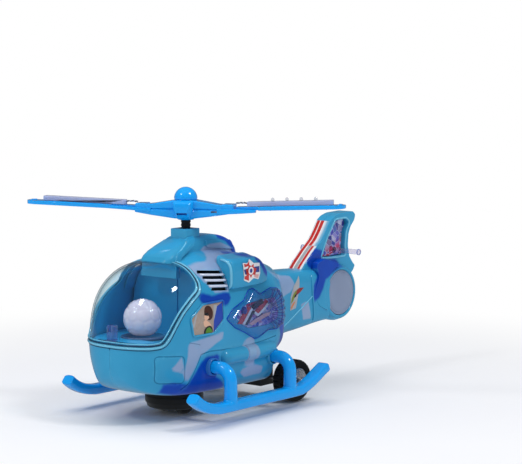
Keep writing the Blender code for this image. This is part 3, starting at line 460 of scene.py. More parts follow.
class Graph:
    """Writes one node material.  Textures run on object coordinates in metres."""

    def __init__(self, name):
        self.m = bpy.data.materials.new(name)
        self.m.use_nodes = True
        self.t = self.m.node_tree
        self.t.nodes.clear()
        self.out = self.t.nodes.new('ShaderNodeOutputMaterial')
        self.pos = self.t.nodes.new('ShaderNodeTexCoord').outputs['Object']

    def link(self, a, b):
        self.t.links.new(a, b)

    def put(self, socket, v):
        if isinstance(v, bpy.types.NodeSocket):
            self.link(v, socket)
        elif v is not None:
            socket.default_value = v

    def noise(self, scale, detail=2.0, rough=0.5, vec=None, out='Fac', distortion=0.0):
        n = self.t.nodes.new('ShaderNodeTexNoise')
        n.inputs['Scale'].default_value = scale
        n.inputs['Detail'].default_value = detail
        n.inputs['Roughness'].default_value = rough
        n.inputs['Distortion'].default_value = distortion
        self.link(vec or self.pos, n.inputs['Vector'])
        return n.outputs[out]

    def voronoi(self, scale, feature='F1', out='Distance', vec=None, rand=1.0):
        n = self.t.nodes.new('ShaderNodeTexVoronoi')
        n.feature = feature
        n.inputs['Scale'].default_value = scale
        n.inputs['Randomness'].default_value = rand
        self.link(vec or self.pos, n.inputs['Vector'])
        return n.outputs[out]

    def wave(self, scale, direction='X', vec=None, distortion=0.0, profile='SIN'):
        n = self.t.nodes.new('ShaderNodeTexWave')
        n.bands_direction = direction
        n.wave_profile = profile
        n.inputs['Scale'].default_value = scale
        n.inputs['Distortion'].default_value = distortion
        self.link(vec or self.pos, n.inputs['Vector'])
        return n.outputs['Fac']

    def math(self, op, a, b=0.0, clamp=False):
        n = self.t.nodes.new('ShaderNodeMath')
        n.operation = op
        n.use_clamp = clamp
        self.put(n.inputs[0], a)
        self.put(n.inputs[1], b)
        return n.outputs[0]

    def range(self, v, a, b, c=0.0, d=1.0, smooth=False):
        n = self.t.nodes.new('ShaderNodeMapRange')
        if smooth:
            n.interpolation_type = 'SMOOTHSTEP'
        self.put(n.inputs['Value'], v)
        for s, x in (('From Min', a), ('From Max', b), ('To Min', c), ('To Max', d)):
            n.inputs[s].default_value = x
        return n.outputs['Result']

    def mix(self, fac, a, b, kind='MIX'):
        n = self.t.nodes.new('ShaderNodeMix')
        n.data_type = 'RGBA'
        n.blend_type = kind
        self.put(n.inputs['Factor'], fac)
        self.put(n.inputs['A'], a)
        self.put(n.inputs['B'], b)
        return n.outputs['Result']

    def ramp(self, fac, stops, kind='LINEAR'):
        n = self.t.nodes.new('ShaderNodeValToRGB')
        n.color_ramp.interpolation = kind
        el = n.color_ramp.elements
        while len(el) > 1:
            el.remove(el[0])
        el[0].position, el[0].color = stops[0]
        for p, c in stops[1:]:
            e = el.new(p)
            e.color = c
        self.link(fac, n.inputs['Fac'])
        return n.outputs['Color']

    def xyz(self, vec=None):
        n = self.t.nodes.new('ShaderNodeSeparateXYZ')
        self.link(vec or self.pos, n.inputs[0])
        return n.outputs

    def attribute(self, name, out='Fac'):
        n = self.t.nodes.new('ShaderNodeAttribute')
        n.attribute_name = name
        return n.outputs[out]

    def mapped(self, scale=(1, 1, 1), rot=(0, 0, 0), loc=(0, 0, 0)):
        n = self.t.nodes.new('ShaderNodeMapping')
        n.inputs['Scale'].default_value = scale
        n.inputs['Rotation'].default_value = rot
        n.inputs['Location'].default_value = loc
        self.link(self.pos, n.inputs['Vector'])
        return n.outputs[0]

    def bump(self, height, strength, distance, normal=None):
        n = self.t.nodes.new('ShaderNodeBump')
        n.inputs['Strength'].default_value = strength
        n.inputs['Distance'].default_value = distance
        self.link(height, n.inputs['Height'])
        if normal is not None:
            self.link(normal, n.inputs['Normal'])
        return n.outputs[0]

    def principled(self, **v):
        n = self.t.nodes.new('ShaderNodeBsdfPrincipled')
        for k, x in v.items():
            self.put(n.inputs[k.replace('_', ' ')], x)
        return n.outputs[0]

    def done(self, shader):
        self.link(shader, self.out.inputs['Surface'])
        return self.m


def plastic(name, colour, rough=0.3, grain=0.05, coat=0.0, tone=0.06, metal=0.0, sss=0.0, scale=1400.0, scuff=0.05,
            grain_mm=0.05, spec=0.5):
    """Moulded plastic: slight tone drift, fine grain and handling scuffs."""
    g = Graph(name)
    big = g.noise(22.0, 3.0, 0.55)
    fine = g.noise(scale, 2.0, 0.6)
    scratch = g.noise(420.0, 4.0, 0.7, vec=g.mapped((1.0, 0.12, 0.35), (0.4, 0.2, 0.7)))
    dark = tuple(c * (1 - tone) for c in colour[:3]) + (1.0,)
    light = tuple(min(1.0, c * (1 + tone) + 0.004) for c in colour[:3]) + (1.0,)
    col = g.mix(g.range(big, 0.3, 0.7), dark, light)
    col = g.mix(g.range(scratch, 0.62, 0.9, 0.0, scuff), col, (0.8, 0.8, 0.8, 1))
    rgh = g.math('ADD', g.range(fine, 0.3, 0.7, rough - 0.03, rough + 0.04), g.range(scratch, 0.55, 0.85, 0.0, 0.12))
    nor = g.bump(fine, grain, grain_mm * MM)
    kw = dict(Base_Color=col, Roughness=rgh, Normal=nor, Metallic=metal)
    if coat:
        kw.update(Coat_Weight=coat, Coat_Roughness=0.08)
    if sss:
        kw.update(Subsurface_Weight=sss, Subsurface_Scale=0.004, Subsurface_Radius=(0.9, 0.85, 1.0))
    kw['Specular IOR Level'] = spec
    return g.done(g.principled(**kw))


TEAL = srgb(46, 154, 200)
EDGE_HIGHLIGHT_TEAL = srgb(92, 186, 224)


def body_paint(name, painted=True):
    """Teal moulding with sprayed lavender and cobalt patches.  The attributes
    hold each point's distance in millimetres inside the nearest patch."""
    g = Graph(name)
    big = g.noise(14.0, 3.0, 0.55)
    fine = g.noise(1500.0, 2.0, 0.6)
    speck = g.noise(3200.0, 1.0, 0.5)
    scratch = g.noise(380.0, 4.0, 0.7, vec=g.mapped((1.0, 0.12, 0.4), (0.3, 0.1, 0.5)))
    col = g.mix(g.range(big, 0.3, 0.7), srgb(40, 148, 194), srgb(54, 160, 206))
    if painted:
        warp = g.math('MULTIPLY', g.math('SUBTRACT', g.noise(260.0, 3.0, 0.6), 0.5), 1.3)
        lav = g.math('ADD', g.attribute("lav"), warp)
        cob = g.math('ADD', g.attribute("cob"), warp)
        col = g.mix(g.range(lav, -1.1, 0.9, smooth=True), col, g.mix(g.range(big, 0.3, 0.7), srgb(132, 160, 200), srgb(152, 174, 208)))
        col = g.mix(g.range(cob, -1.5, 1.7, smooth=True), col, g.mix(g.range(big, 0.3, 0.7), srgb(0, 54, 160), srgb(0, 78, 192)))
    coat = g.range(big, 0.3, 0.7, 0.62, 0.74)
    if painted:
        coat = g.math('MULTIPLY', coat, g.range(cob, -1.5, 1.7, 1.0, 0.6))
    # pointiness paints a lighter teal highlight along sharp edges and a navy painted shade in creases and recesses
    geo = g.t.nodes.new('ShaderNodeNewGeometry')
    edge = g.range(geo.outputs['Pointiness'], 0.515, 0.56, 0.0, 0.26)
    col = g.mix(edge, col, EDGE_HIGHLIGHT_TEAL)
    crease = g.range(geo.outputs['Pointiness'], 0.485, 0.44, 0.0, 0.35)
    col = g.mix(crease, col, srgb(14, 74, 112))
    col = g.mix(g.range(speck, 0.6, 0.8, 0.0, 0.06), col, srgb(190, 215, 235))
    rgh = g.math('ADD', g.range(fine, 0.3, 0.7, 0.30, 0.38), g.range(scratch, 0.55, 0.85, 0.0, 0.10))
    nor = g.bump(fine, 0.06, 0.06 * MM)
    return g.done(g.principled(Base_Color=col, Roughness=rgh, Normal=nor, Coat_Weight=coat, Coat_Roughness=0.06, **{'Specular IOR Level': 0.12}))


def clear(name, tint, body=None, body_fac=0.0, rough=0.02, ior=1.45, bumpy=None, gloss=1.0, edge=None):
    """Thin clear plastic: see-through, with a Fresnel gloss and optionally a
    share of a coloured, light-carrying body."""
    g = Graph(name)
    n = g.t.nodes.new('ShaderNodeBsdfTransparent')
    g.put(n.inputs['Color'], tint)
    sh = n.outputs[0]
    normal = None
    if bumpy is not None:
        normal = bumpy(g)
    if body is not None:
        p = g.principled(Base_Color=body(g) if callable(body) else body, Roughness=0.35, Subsurface_Weight=0.3,
                         Subsurface_Scale=0.003)
        if normal is not None:
            g.link(normal, p.node.inputs['Normal'])
        m = g.t.nodes.new('ShaderNodeMixShader')
        g.put(m.inputs['Fac'], body_fac(g) if callable(body_fac) else body_fac)
        g.link(sh, m.inputs[1])
        g.link(p, m.inputs[2])
        sh = m.outputs[0]
    lw = g.t.nodes.new('ShaderNodeLayerWeight')
    lw.inputs['Blend'].default_value = 0.5
    # edge: a diffuse colour mixed in at grazing angles, a painted dark rim standing in for the shade that refraction
    # gives a clear part's outline
    if edge is not None:
        d = g.t.nodes.new('ShaderNodeBsdfDiffuse')
        g.put(d.inputs['Color'], edge)
        m = g.t.nodes.new('ShaderNodeMixShader')
        g.link(g.range(lw.outputs['Facing'], 0.82, 0.97, 0.0, 0.85), m.inputs['Fac'])
        g.link(sh, m.inputs[1])
        g.link(d.outputs[0], m.inputs[2])
        sh = m.outputs[0]
    gl = g.t.nodes.new('ShaderNodeBsdfGlossy')
    g.put(gl.inputs['Roughness'], g.range(g.noise(120.0, 3.0), 0.3, 0.7, rough, rough * 1.6 + 0.01))
    fr = g.t.nodes.new('ShaderNodeLayerWeight')
    fr.inputs['Blend'].default_value = 0.5
    if normal is not None:
        g.link(normal, gl.inputs['Normal'])
        g.link(normal, fr.inputs['Normal'])
    f0 = ((ior - 1) / (ior + 1)) ** 2
    fac = g.math('ADD', g.math('MULTIPLY', g.math('POWER', fr.outputs['Facing'], 5.0), 1.0 - f0), f0)
    m = g.t.nodes.new('ShaderNodeMixShader')
    g.link(g.math('MULTIPLY', fac, gloss), m.inputs['Fac'])
    g.link(sh, m.inputs[1])
    g.link(gl.outputs[0], m.inputs[2])
    return g.done(m.outputs[0])


BODY_PAINT = body_paint("body_camouflage")
BODY_PLAIN = body_paint("body_teal", painted=False)
# lighter teal for raised rims, beads and lips: the body's teal with a painted highlight along them
HIGHLIGHT_RIM_TEAL = plastic("rim_teal_painted_highlight", srgb(112, 194, 226), 0.2, coat=0.6, spec=0.35)
SEAM = plastic("seam_shadow_navy", srgb(8, 44, 84), 0.5)
RING = plastic("turntable_ring_smoke", srgb(84, 104, 140), 0.22, coat=0.6)
LINER = plastic("liner_blue", srgb(48, 168, 218), 0.3, coat=0.2, spec=0.35)
AZURE = plastic("azure_gloss", srgb(0, 164, 250), 0.2, grain=0.03, coat=1.0, tone=0.04, scuff=0.005, spec=0.25)
BLACK = plastic("black_moulding", srgb(12, 12, 14), 0.42, grain=0.12, tone=0.15, scuff=0.015, spec=0.35)
RUBBER = plastic("black_rubber_tread", srgb(9, 9, 11), 0.7, grain=0.3, tone=0.2, scale=900.0, scuff=0.02, grain_mm=0.12, spec=0.35)
SILVER = plastic("silver_lacquer", srgb(205, 206, 210), 0.26, grain=0.05, metal=0.85, tone=0.05)
STEEL = plastic("turned_steel", srgb(150, 152, 156), 0.3, grain=0.12, metal=1.0, tone=0.1, scale=2600.0)
BRASS = plastic("hobbed_brass", srgb(196, 160, 92), 0.32, grain=0.1, metal=1.0, tone=0.1)
NYLON = plastic("white_nylon", srgb(226, 226, 220), 0.42, grain=0.05, sss=0.2)
DISC = plastic("tail_disc_lavender", srgb(134, 149, 178), 0.34, grain=0.06, coat=0.25, sss=0.1)
STRIP = plastic("strip_lavender", srgb(184, 190, 220), 0.32, grain=0.06, coat=0.3, sss=0.3)
BALL = plastic("ball_lavender", srgb(252, 224, 238), 0.14, grain=0.03, coat=1.0, sss=0.3, tone=0.04)
for node in BALL.node_tree.nodes:
    if node.type == 'BSDF_PRINCIPLED':
        node.inputs['Emission Color'].default_value = (0.80, 0.72, 0.95, 1.0)
        node.inputs['Emission Strength'].default_value = 0.09
LOUVRE = plastic("louvre_lavender", srgb(214, 222, 240), 0.26, grain=0.04, coat=0.4)
COB = plastic("cobalt_spray", srgb(0, 66, 196), 0.26, grain=0.05, coat=0.4, spec=0.25)
# each clear part's edge colour below is its painted dark rim at grazing angles
CANOPY = clear("canopy_clear", (0.90, 0.965, 0.985, 1), rough=0.012, ior=1.5, edge=srgb(84, 62, 56))
LENS_CLEAR = clear("lens_blue_violet", (0.84, 0.90, 0.975, 1), body=srgb(70, 110, 210), body_fac=0.05, rough=0.03,
                   ior=1.6, edge=srgb(24, 40, 104))
# dark violet for the clear cover's ribs: painted shade in place of their refraction
RIB = plastic("lens_rib_painted_shade", srgb(52, 50, 138), 0.2, coat=0.6)
LED = clear("led_clear", (0.86, 0.88, 0.92, 1), body=srgb(206, 208, 214), body_fac=0.16, rough=0.03, ior=1.5,
            edge=srgb(70, 60, 58))
TUBE = clear("tail_tube_clear", (0.90, 0.89, 0.95, 1), body=srgb(190, 180, 220), body_fac=0.12, rough=0.03, ior=1.5,
             edge=srgb(58, 44, 54))
BLOCK_CLEAR = clear("block_lavender_clear", (0.78, 0.82, 0.96, 1), body=srgb(150, 172, 226), body_fac=0.3, rough=0.05,
                    ior=1.5, edge=srgb(60, 80, 130))


def crystal(name, stops, scale, deep=0.6, transparent=0.0):
    g = Graph(name)
    v = g.voronoi(scale, out='Color', rand=1.0)
    s = g.xyz(v)
    d = g.voronoi(scale, feature='DISTANCE_TO_EDGE')
    col = g.ramp(s[0], stops)
    # near-white lines along the cell edges are painted glints, and the ramp's near-white cells paint facet reflections
    # among the facets' own colours
    col = g.mix(g.range(d, 0.0, 0.09, 0.75, 0.0), col, srgb(214, 210, 246))
    h = g.math('ADD', g.math('MULTIPLY', s[1], 0.6), g.range(d, 0.0, 0.2, 0.0, 1.0))
    nor = g.bump(h, deep, 0.5 * MM)
    return g.done(g.principled(Base_Color=col, Roughness=0.12, Normal=nor, Coat_Weight=0.6, Coat_Roughness=0.04,
                               Subsurface_Weight=0.2, Subsurface_Scale=0.003))


FIN_CRYSTAL = crystal("fin_crystal_painted_glints", [(0.0, srgb(58, 62, 150)), (0.25, srgb(96, 92, 196)), (0.45, srgb(140, 120, 214)),
                                      (0.62, srgb(84, 70, 170)), (0.8, srgb(190, 176, 232)), (1.0, srgb(112, 52, 140))], 150.0)
REFLECT_CRYSTAL = crystal("reflector_crystal_painted_glints", [(0.0, srgb(24, 34, 104)), (0.2, srgb(110, 106, 206)), (0.38, srgb(214, 208, 244)), (0.5, srgb(60, 80, 180)),
                                                (0.66, srgb(150, 140, 224)), (0.8, srgb(196, 52, 84)), (0.9, srgb(232, 224, 246)), (1.0, srgb(20, 24, 84))], 200.0)


def flat_print(name, colour, rough=0.3):
    """Printed film: even colour, faint dot grain, glossy."""
    g = Graph(name)
    dots = g.voronoi(2600.0, rand=0.2)
    tone = g.noise(90.0, 2.0)
    col = g.mix(g.range(dots, 0.25, 0.5, 0.0, 0.10), colour, tuple(min(1, c * 1.5 + 0.02) for c in colour[:3]) + (1.0,))
    col = g.mix(g.range(tone, 0.3, 0.7, 0.0, 0.08), col, (0.0, 0.0, 0.0, 1))
    return g.done(g.principled(Base_Color=col, Roughness=g.range(tone, 0.3, 0.7, rough - 0.04, rough + 0.05),
                               Normal=g.bump(dots, 0.03, 0.02 * MM), Coat_Weight=0.4, Coat_Roughness=0.06))


P_WHITE = flat_print("print_white", srgb(232, 230, 232))
P_RED = flat_print("print_red", srgb(200, 44, 40))
P_DARKRED = flat_print("print_dark_red", srgb(150, 30, 28))
P_BLUE = flat_print("print_blue", srgb(36, 54, 140))
P_TAN = flat_print("print_tan", srgb(166, 148, 136))
P_BROWN = flat_print("print_brown", srgb(70, 34, 24))
P_GREEN = flat_print("print_green", srgb(84, 140, 34))
P_OLIVE = flat_print("print_olive", srgb(120, 134, 40))
P_ORANGE = flat_print("print_orange", srgb(206, 120, 66))
P_SKIN = flat_print("print_warm_cream", srgb(226, 178, 150))
P_PINK = flat_print("print_pink", srgb(226, 170, 170))
P_GREY = flat_print("print_grey", srgb(168, 172, 178))
P_COBALT = flat_print("print_cobalt", srgb(18, 66, 176))
P_BLACK = flat_print("print_black", srgb(24, 22, 28))


# ------------------------------------------------------------- camouflage
LAV_SIDE = [
    [(-19, 127), (-6, 134), (6, 141), (14, 143), (27, 143), (47, 136), (44, 132), (14, 132), (0, 129.5)],
    [(-33, 128), (-20, 131), (-1, 132), (1, 126), (0, 106), (-17, 106.5), (-27, 117)],
    [(-51, 69), (-40, 70), (-26, 71.5), (-11.6, 73.5), (-10, 69), (-21, 64.5), (-30, 60.5), (-39.6, 56.5), (-43.9, 49), (-49, 41.5),
     (-52.5, 34.5), (-56, 43), (-54.5, 52), (-53.2, 60), (-54, 66)],
    [(-68.5, 47.5), (-64.0, 52.5), (-60.0, 58), (-57.6, 51), (-55, 43.5), (-61, 45.2)],
    [(11.5, 59.5), (20, 64), (29, 65), (28.5, 59), (16, 56.8)],
    [(17, 60), (30, 60), (32, 50), (30, 44), (24, 40), (17, 44)],
    [(9, 37.5), (27, 40.5), (42, 37.5), (41, 31.5), (18, 31)],
    [(98, 109), (112, 106), (126, 104.5), (131, 97), (124, 90.5), (110, 88), (99, 93), (103, 100)],
    [(140, 77), (152, 79), (158, 62), (145, 62.5)],
]
COB_SIDE = [
    [(-72, 28), (-71.5, 35.8), (-63, 36.8), (-50.5, 34.0), (-47.5, 39), (-39.5, 50), (-33, 55), (-17, 55.5), (-15, 50), (-19, 46),
     (-19.5, 37), (-10, 31), (-4, 24.5), (-26, 21.5), (-54, 23)],
    [(-39, 107.5), (-30, 107.5), (-21, 104.5), (-6, 106.5), (0, 105), (2, 99), (-5.6, 94.5), (-25, 96.8), (-35, 100)],
    [(35, 134), (43, 129), (53, 118), (50, 114), (44, 117.6), (39, 125), (33, 130)],
    [(26, 155), (38, 152), (50, 143), (50, 131), (44, 131), (41, 137), (34, 143.5), (26, 147)],
    [(20, 136.5), (30, 135.5), (40, 133.5), (28, 132.3), (20, 134)],
    [(63, 76), (76, 72), (86, 64), (92, 58), (88, 48), (76, 44), (64, 50), (70, 60)],
    [(158, 119), (172, 126), (186, 122), (186, 114), (205, 113), (212, 107), (204, 104.5), (190, 100), (180, 96), (176, 88), (170, 80),
     (162, 76.5), (160, 84), (162, 93), (168, 100), (167, 106), (161, 110)],
]


def inside_distance(y, z, polys):
    """Signed distance in mm into the union of polygons, for arrays y, z."""
    best = np.full(y.shape, -50.0)
    for poly in polys:
        d = np.full(y.shape, 1e9)
        inside = np.zeros(y.shape, bool)
        n = len(poly)
        for i in range(n):
            (ay, az), (by, bz) = poly[i], poly[(i + 1) % n]
            ey, ez = by - ay, bz - az
            t = np.clip(((y - ay) * ey + (z - az) * ez) / (ey * ey + ez * ez + 1e-9), 0, 1)
            d = np.minimum(d, np.hypot(y - ay - t * ey, z - az - t * ez))
            cross = (az > z) != (bz > z)
            with np.errstate(divide='ignore', invalid='ignore'):
                yy = (by - ay) * (z - az) / (bz - az + 1e-12) + ay
            inside ^= cross & (y < yy)
        best = np.maximum(best, np.where(inside, d, -d))
    return best


def camouflage(o, lav=LAV_SIDE, cob=COB_SIDE):
    me = o.data
    co = np.zeros(len(me.vertices) * 3)
    me.vertices.foreach_get("co", co)
    co = co.reshape(-1, 3) / MM
    y, z, x = co[:, 1] - YS, co[:, 2], co[:, 0]
    # the starboard side's patches sit a little differently
    star = (x < 0)
    yy = np.where(star, y + 3.0 * np.sin(z / 9.0), y)
    zz = np.where(star, z + 2.0 * np.sin(y / 11.0), z)
    for name, polys in (("lav", lav), ("cob", cob)):
        a = me.attributes.new(name, 'FLOAT', 'POINT')
        a.data.foreach_set("value", inside_distance(yy, zz, polys).astype(np.float32))
    return o


def densify(bm, longest=3.0):
    """Triangles with no edge longer than this, so that a painted edge stays crisp."""
    bmesh.ops.triangulate(bm, faces=bm.faces)
    for _ in range(6):
        long = [e for e in bm.edges if e.calc_length() > longest]
        if not long:
            break
        bmesh.ops.subdivide_edges(bm, edges=long, cuts=1)
        bmesh.ops.triangulate(bm, faces=[f for f in bm.faces if len(f.verts) > 3])
    return bm


# ------------------------------------------------------------ body skin
WALL = 2.0
CANOPY_EDGE = [(-110, 69.0), (-84, 69.0), (-77, 70.5), (-72.5, 76), (-66.5, 85.5), (-58.5, 95.5),
               (-47.5, 104.3), (-37.5, 110.5), (-35, 115.5), (-35, 150), (-110, 150)]
OPENING = [CANOPY_EDGE[0]] + rounded(CANOPY_EDGE[1:9], 5.0)[6:-6] + CANOPY_EDGE[8:]
OPENING = [CANOPY_EDGE[0]] + [(p.x, p.y) for p in
           [Vector((q.x, q.y)) for q in smooth_path([(a, b, 0) for a, b in CANOPY_EDGE[1:9]], 1.2)]] + CANOPY_EDGE[9:]
LENS = [(-7, 83.5), (2, 91), (17, 96.5), (25, 104.5), (32, 105.5), (40, 99.5), (56, 103.5), (68, 102), (74, 94),
        (76, 82), (73, 72), (62, 67.5), (48, 68), (37, 63.5), (30, 62.5), (18, 69), (4, 75)]
LENS_HOLE = [(6, 83.3), (11, 88.5), (22, 93.5), (44, 95), (62, 95), (66, 86), (64, 76), (48, 72.5), (22, 72.5), (11, 78)]
FIN = [(146, 100), (156.5, 110.8), (170, 122), (183.5, 131.8), (190.5, 140), (197, 149.3), (203, 153),
       (212, 155.3), (233, 156), (237, 152.5), (235, 147), (229.5, 142), (226, 135), (225, 124),
       (227.5, 113.5), (233, 107), (236.6, 104.0), (233.5, 99.5), (222, 90), (190, 90)]
FIN_WINDOW = [(183.5, 116.5), (192, 132), (205, 149), (222, 149.5), (226, 146), (220.5, 137),
              (219, 124), (220, 115.5), (192, 115.5)]
DRUM = (204.7, 81.5)
TURN_Y = -16.0


def side_groove(points, r=0.55, lift=0.12, step=1.6, closed=False, side=1):
    path = smooth_or_straight(points, step, closed)
    return sweep([on_side(p.x, p.y, lift, side) for p in path], r, 8, closed=closed, up=(side, 0.02, 0.05))


def smooth_or_straight(points, step, closed):
    return straight_path([(a, b, 0) for a, b in points], step, closed)


def resample(outline, step, closed=True):
    return [(p.x, p.y) for p in straight_path([(a, b, 0) for a, b in outline], step, closed)]


stations = nose_y(30) + [-36 + 2.4 * k for k in range(int((188 + 36) / 2.4) + 1)] + [188]
rings = rings_at(stations, 46)
bm = loft(rings, close_ends=False)
bm.verts.ensure_lookup_table()
bm.faces.new([bm.verts[i] for i in range(len(rings[0]))])
bmesh.ops.recalc_face_normals(bm, faces=bm.faces)
ref = max(bm.faces, key=lambda f: f.calc_center_median().x)
if ref.normal.x < 0:
    bmesh.ops.reverse_faces(bm, faces=bm.faces)
me = bpy.data.meshes.new("skin")
bm.to_mesh(me)
bm.free()
me.transform(TO_FRAME)
skin = bpy.data.objects.new("skin", me)
scene.collection.objects.link(skin)
s = skin.modifiers.new("wall", 'SOLIDIFY')
s.thickness = WALL * MM
s.offset = -1.0
s.use_even_offset = True
s.use_rim = True
apply_all(skin)
cut(skin, prism(OPENING, -80, 80))
cut(skin, turned([(0, 30), (26.2, 30), (26.2, 8), (0, 8)], 'z', (0, TURN_Y, 0), 72))
cut(skin, soften(block((65.0, 44.6, 10), (3.4, 33.5, 21)), 0.01, 1))
cut(skin, block((40.6, 18.2, 14), (0, 86, 47)))
cut(skin, block((4.6, 11.0, 10), (-34.5, 33.5, 22)))
for side in (1, -1):
    lo, hi = sorted((side * 20, side * 70))
    cut(skin, prism(rounded(LENS_HOLE, 3), lo, hi))
    # four air slots in the shoulder
    for i, (ya, yb, za, zb) in enumerate(((-28.6, -0.6, 124.1, 121.9), (-26.4, -0.7, 119.7, 117.6),
                                          (-24.6, -1.0, 114.9, 113.2), (-21.6, -1.4, 109.8, 108.3))):
        out = rounded([(ya, za - 1.15), (yb, zb - 1.3), (yb, zb + 1.3), (ya + 2.0, za + 1.3)], 0.8, 3)
        lo, hi = sorted((side * 30, side * 60))
        cut(skin, prism(out, lo, hi))
    # wall behind the air slots, liner blue inside and black on its outer face: painted shade for the hollow seen
    # through the slots
    grid = bmesh.new()
    rows_g = [[grid.verts.new(on_side(-31.0 + 1.6 * i, 105.0 + 1.9 * j, -3.3, side)) for j in range(13)] for i in range(21)]
    for r0, r1 in zip(rows_g, rows_g[1:]):
        for j in range(12):
            grid.faces.new((r0[j], r1[j], r1[j + 1], r0[j + 1]))
    slot_shade_wall = to_object("air_slot_shade_wall_" + ("left" if side > 0 else "right"), grid)
    w = slot_shade_wall.modifiers.new("wall", 'SOLIDIFY')
    w.thickness = 0.6 * MM
    w.offset = 0.0
    apply_all(slot_shade_wall)
    slot_shade_wall.data.materials.append(LINER)
    slot_shade_wall.data.materials.append(BLACK)
    finish(slot_shade_wall, [LINER, BLACK], rep=("fuselage_shell_" + ("left" if side > 0 else "right"),), sharp=40)
    # outward faces take the black: the slots' painted shade
    for f in slot_shade_wall.data.polygons:
        if f.normal.x * side > 0.1:
            f.material_index = 1
    # moulded panel lines
    PANEL = rounded([(-81.8, 60.0), (-57.2, 58.4), (-54.2, 35.2), (-78.2, 36.8)], 4.5, 6)
    cut(skin, side_groove(PANEL, 0.6, 0.10, 1.2, closed=True, side=side))
    cut(skin, side_groove([(-55.5, 29.5), (-50.4, 33.6), (-44.3, 46.5), (-38.8, 57.6), (-27.8, 59.0), (8, 57.4), (40, 59.2), (60, 61.5)],
                          0.62, 0.05, 1.6, side=side))
    cut(skin, side_groove([(-52.2, 69.0), (-40, 66.0)], 0.35, 0.0, 1.4, side=side))
# small notch under the lip where the halves meet
cut(skin, block((1.0, 5, 3.6), (0.0, -96.6, 65.6)))
halves = []
for side, t in ((1, "left"), (-1, "right")):
    half = bpy.data.objects.new("body_half_" + t, skin.data.copy())
    scene.collection.objects.link(half)
    cut(half, block((140, 420, 240), (side * 70.12, 60, 100)), 'INTERSECT')
    camouflage(half)
    finish(half, [BODY_PAINT, LINER], rep=("fuselage_shell_" + t,), sharp=38)
    for f in half.data.polygons:
        c = f.center / MM
        out = Vector((c.x, min(c.y - YS + 40.0, 0.0), c.z - 76.0))
        if f.normal.dot(out) < -0.12 * out.length:
            f.material_index = 1
    halves.append(half)
bpy.data.objects.remove(skin)


# ------------------------------------------------- rims round the canopy
def lip_tip(z):
    lo, hi = NOSE_Y - NOSE_L, -60.0
    for _ in range(40):
        mid = (lo + hi) / 2
        zs, xs = [p.z for p in body_section(mid, 60)], [p.x for p in body_section(mid, 60)]
        if zs[0] < z < zs[-1] and float(np.interp(z, zs, xs)) > 0.35:
            hi = mid
        else:
            lo = mid
    return hi


def exact_x(y, z):
    s = body_section(y, 90)
    zs = [p.z for p in s]
    if z > zs[-1]:
        return 0.0
    return float(np.interp(z, zs, [p.x for p in s]))


def canopy_path(d, lift):
    """The opening's edge on the port side, moved out by d over the skin and
    up by lift, from the nose's middle to the roof's middle."""
    z0 = 69.0 - d
    tip = lip_tip(z0)
    out = []
    for k in range(26):
        y = tip + (-84.0 - tip) * (1 - math.cos(math.pi / 2 * k / 25))
        out.append((exact_x(y, z0), y, z0))
    out[0] = (0.0, tip - 0.02, z0)
    poly = [(p.x, p.y) for p in smooth_path([(a, b, 0) for a, b in CANOPY_EDGE[1:9]], 1.5)]
    for i in range(1, len(poly)):
        a, b = poly[i - 1], poly[min(i + 1, len(poly) - 1)]
        v = Vector((b[0] - a[0], b[1] - a[1])).normalized()
        y, z = poly[i][0] + v.y * d, poly[i][1] - v.x * d
        out.append((exact_x(y, z), y, z))
    yr = -35.0 + d
    zlast = out[-1][2]
    sec = [p for p in body_section(yr, 60) if p.z > zlast + 1.0]
    for p in sec:
        out.append((p.x, yr, p.z))
    out[-1] = (0.0, yr, out[-1][2])
    # lift along the outward normal
    res = []
    c = Vector((0, 10, 70))
    for i, p in enumerate(out):
        p = Vector(p)
        if p.y > NOSE_Y - 2 and p.z > 122:
            n = Vector((p.x * 0.3, 0, 22)).normalized()
        else:
            y, z = max(p.y, tip + 0.4), p.z
            n = side_normal(y, min(z, 122)) if p.x > 6 else Vector((p.x / 12, -1, 0.15)).normalized()
        res.append(p + n * lift)
    return res


def full_loop(port):
    return port + [Vector((-p.x, p.y, p.z)) for p in port[-2:0:-1]]


def thin_out(path, least=0.6):
    out = [path[0]]
    for p in path[1:]:
        if (p - out[-1]).length > least:
            out.append(p)
    if (out[0] - out[-1]).length < least:
        out.pop()
    return out


bead = sweep(thin_out(full_loop(canopy_path(2.5, 0.1))), 1.15, 10, (1.25, 0.9), closed=True, up=(0.01, 0.4, 1))
camouflage(add("canopy_surround_bead", bead, HIGHLIGHT_RIM_TEAL, sharp=50))
band = sweep(thin_out(full_loop(canopy_path(-1.0, 0.15))), 1.0, 10, (1.15, 0.55), closed=True, up=(0.01, 0.4, 1))
add("canopy_seat_band", band, HIGHLIGHT_RIM_TEAL, sharp=50)
for k, (d, lift, r) in enumerate(((0.55, 0.32, 0.42), (4.15, 0.0, 0.30))):
    line = sweep(thin_out(full_loop(canopy_path(d, lift))), r, 8, closed=True, up=(0.01, 0.4, 1))
    add("canopy_seam_%d" % (k + 1), line, SEAM, sharp=None)

# ------------------------------------------------------------- canopy
rings = rings_at(nose_y(34) + [-36, -33.5, -31, -29], 46, -0.15)
bm = loft(rings, close_ends=False)
bm.verts.ensure_lookup_table()
bm.faces.new([bm.verts[i] for i in range(len(rings[0]))])
can = to_object("canopy_glass", bm)
ref = max(can.data.polygons, key=lambda f: f.center.x)
if ref.normal.x < 0:
    can.data.flip_normals()
s = can.modifiers.new("wall", 'SOLIDIFY')
s.thickness = 1.3 * MM
s.offset = -1.0
apply_all(can)
inner = [(-110, 69.5)] + [(p.x - 0.2, p.y + 0.45) for p in smooth_path([(a, b, 0) for a, b in CANOPY_EDGE[1:9]], 1.2)] + \
        [(-35.5, 150), (-110, 150)]
cut(can, prism(inner, -80, 80), 'INTERSECT')
finish(can, CANOPY, rep=("canopy",), sharp=40)

# ------------------------------------------------------------- cockpit
frame["nodes"]["cockpit_liner"].data.materials.clear()
frame["nodes"]["cockpit_liner"].data.materials.append(LINER)
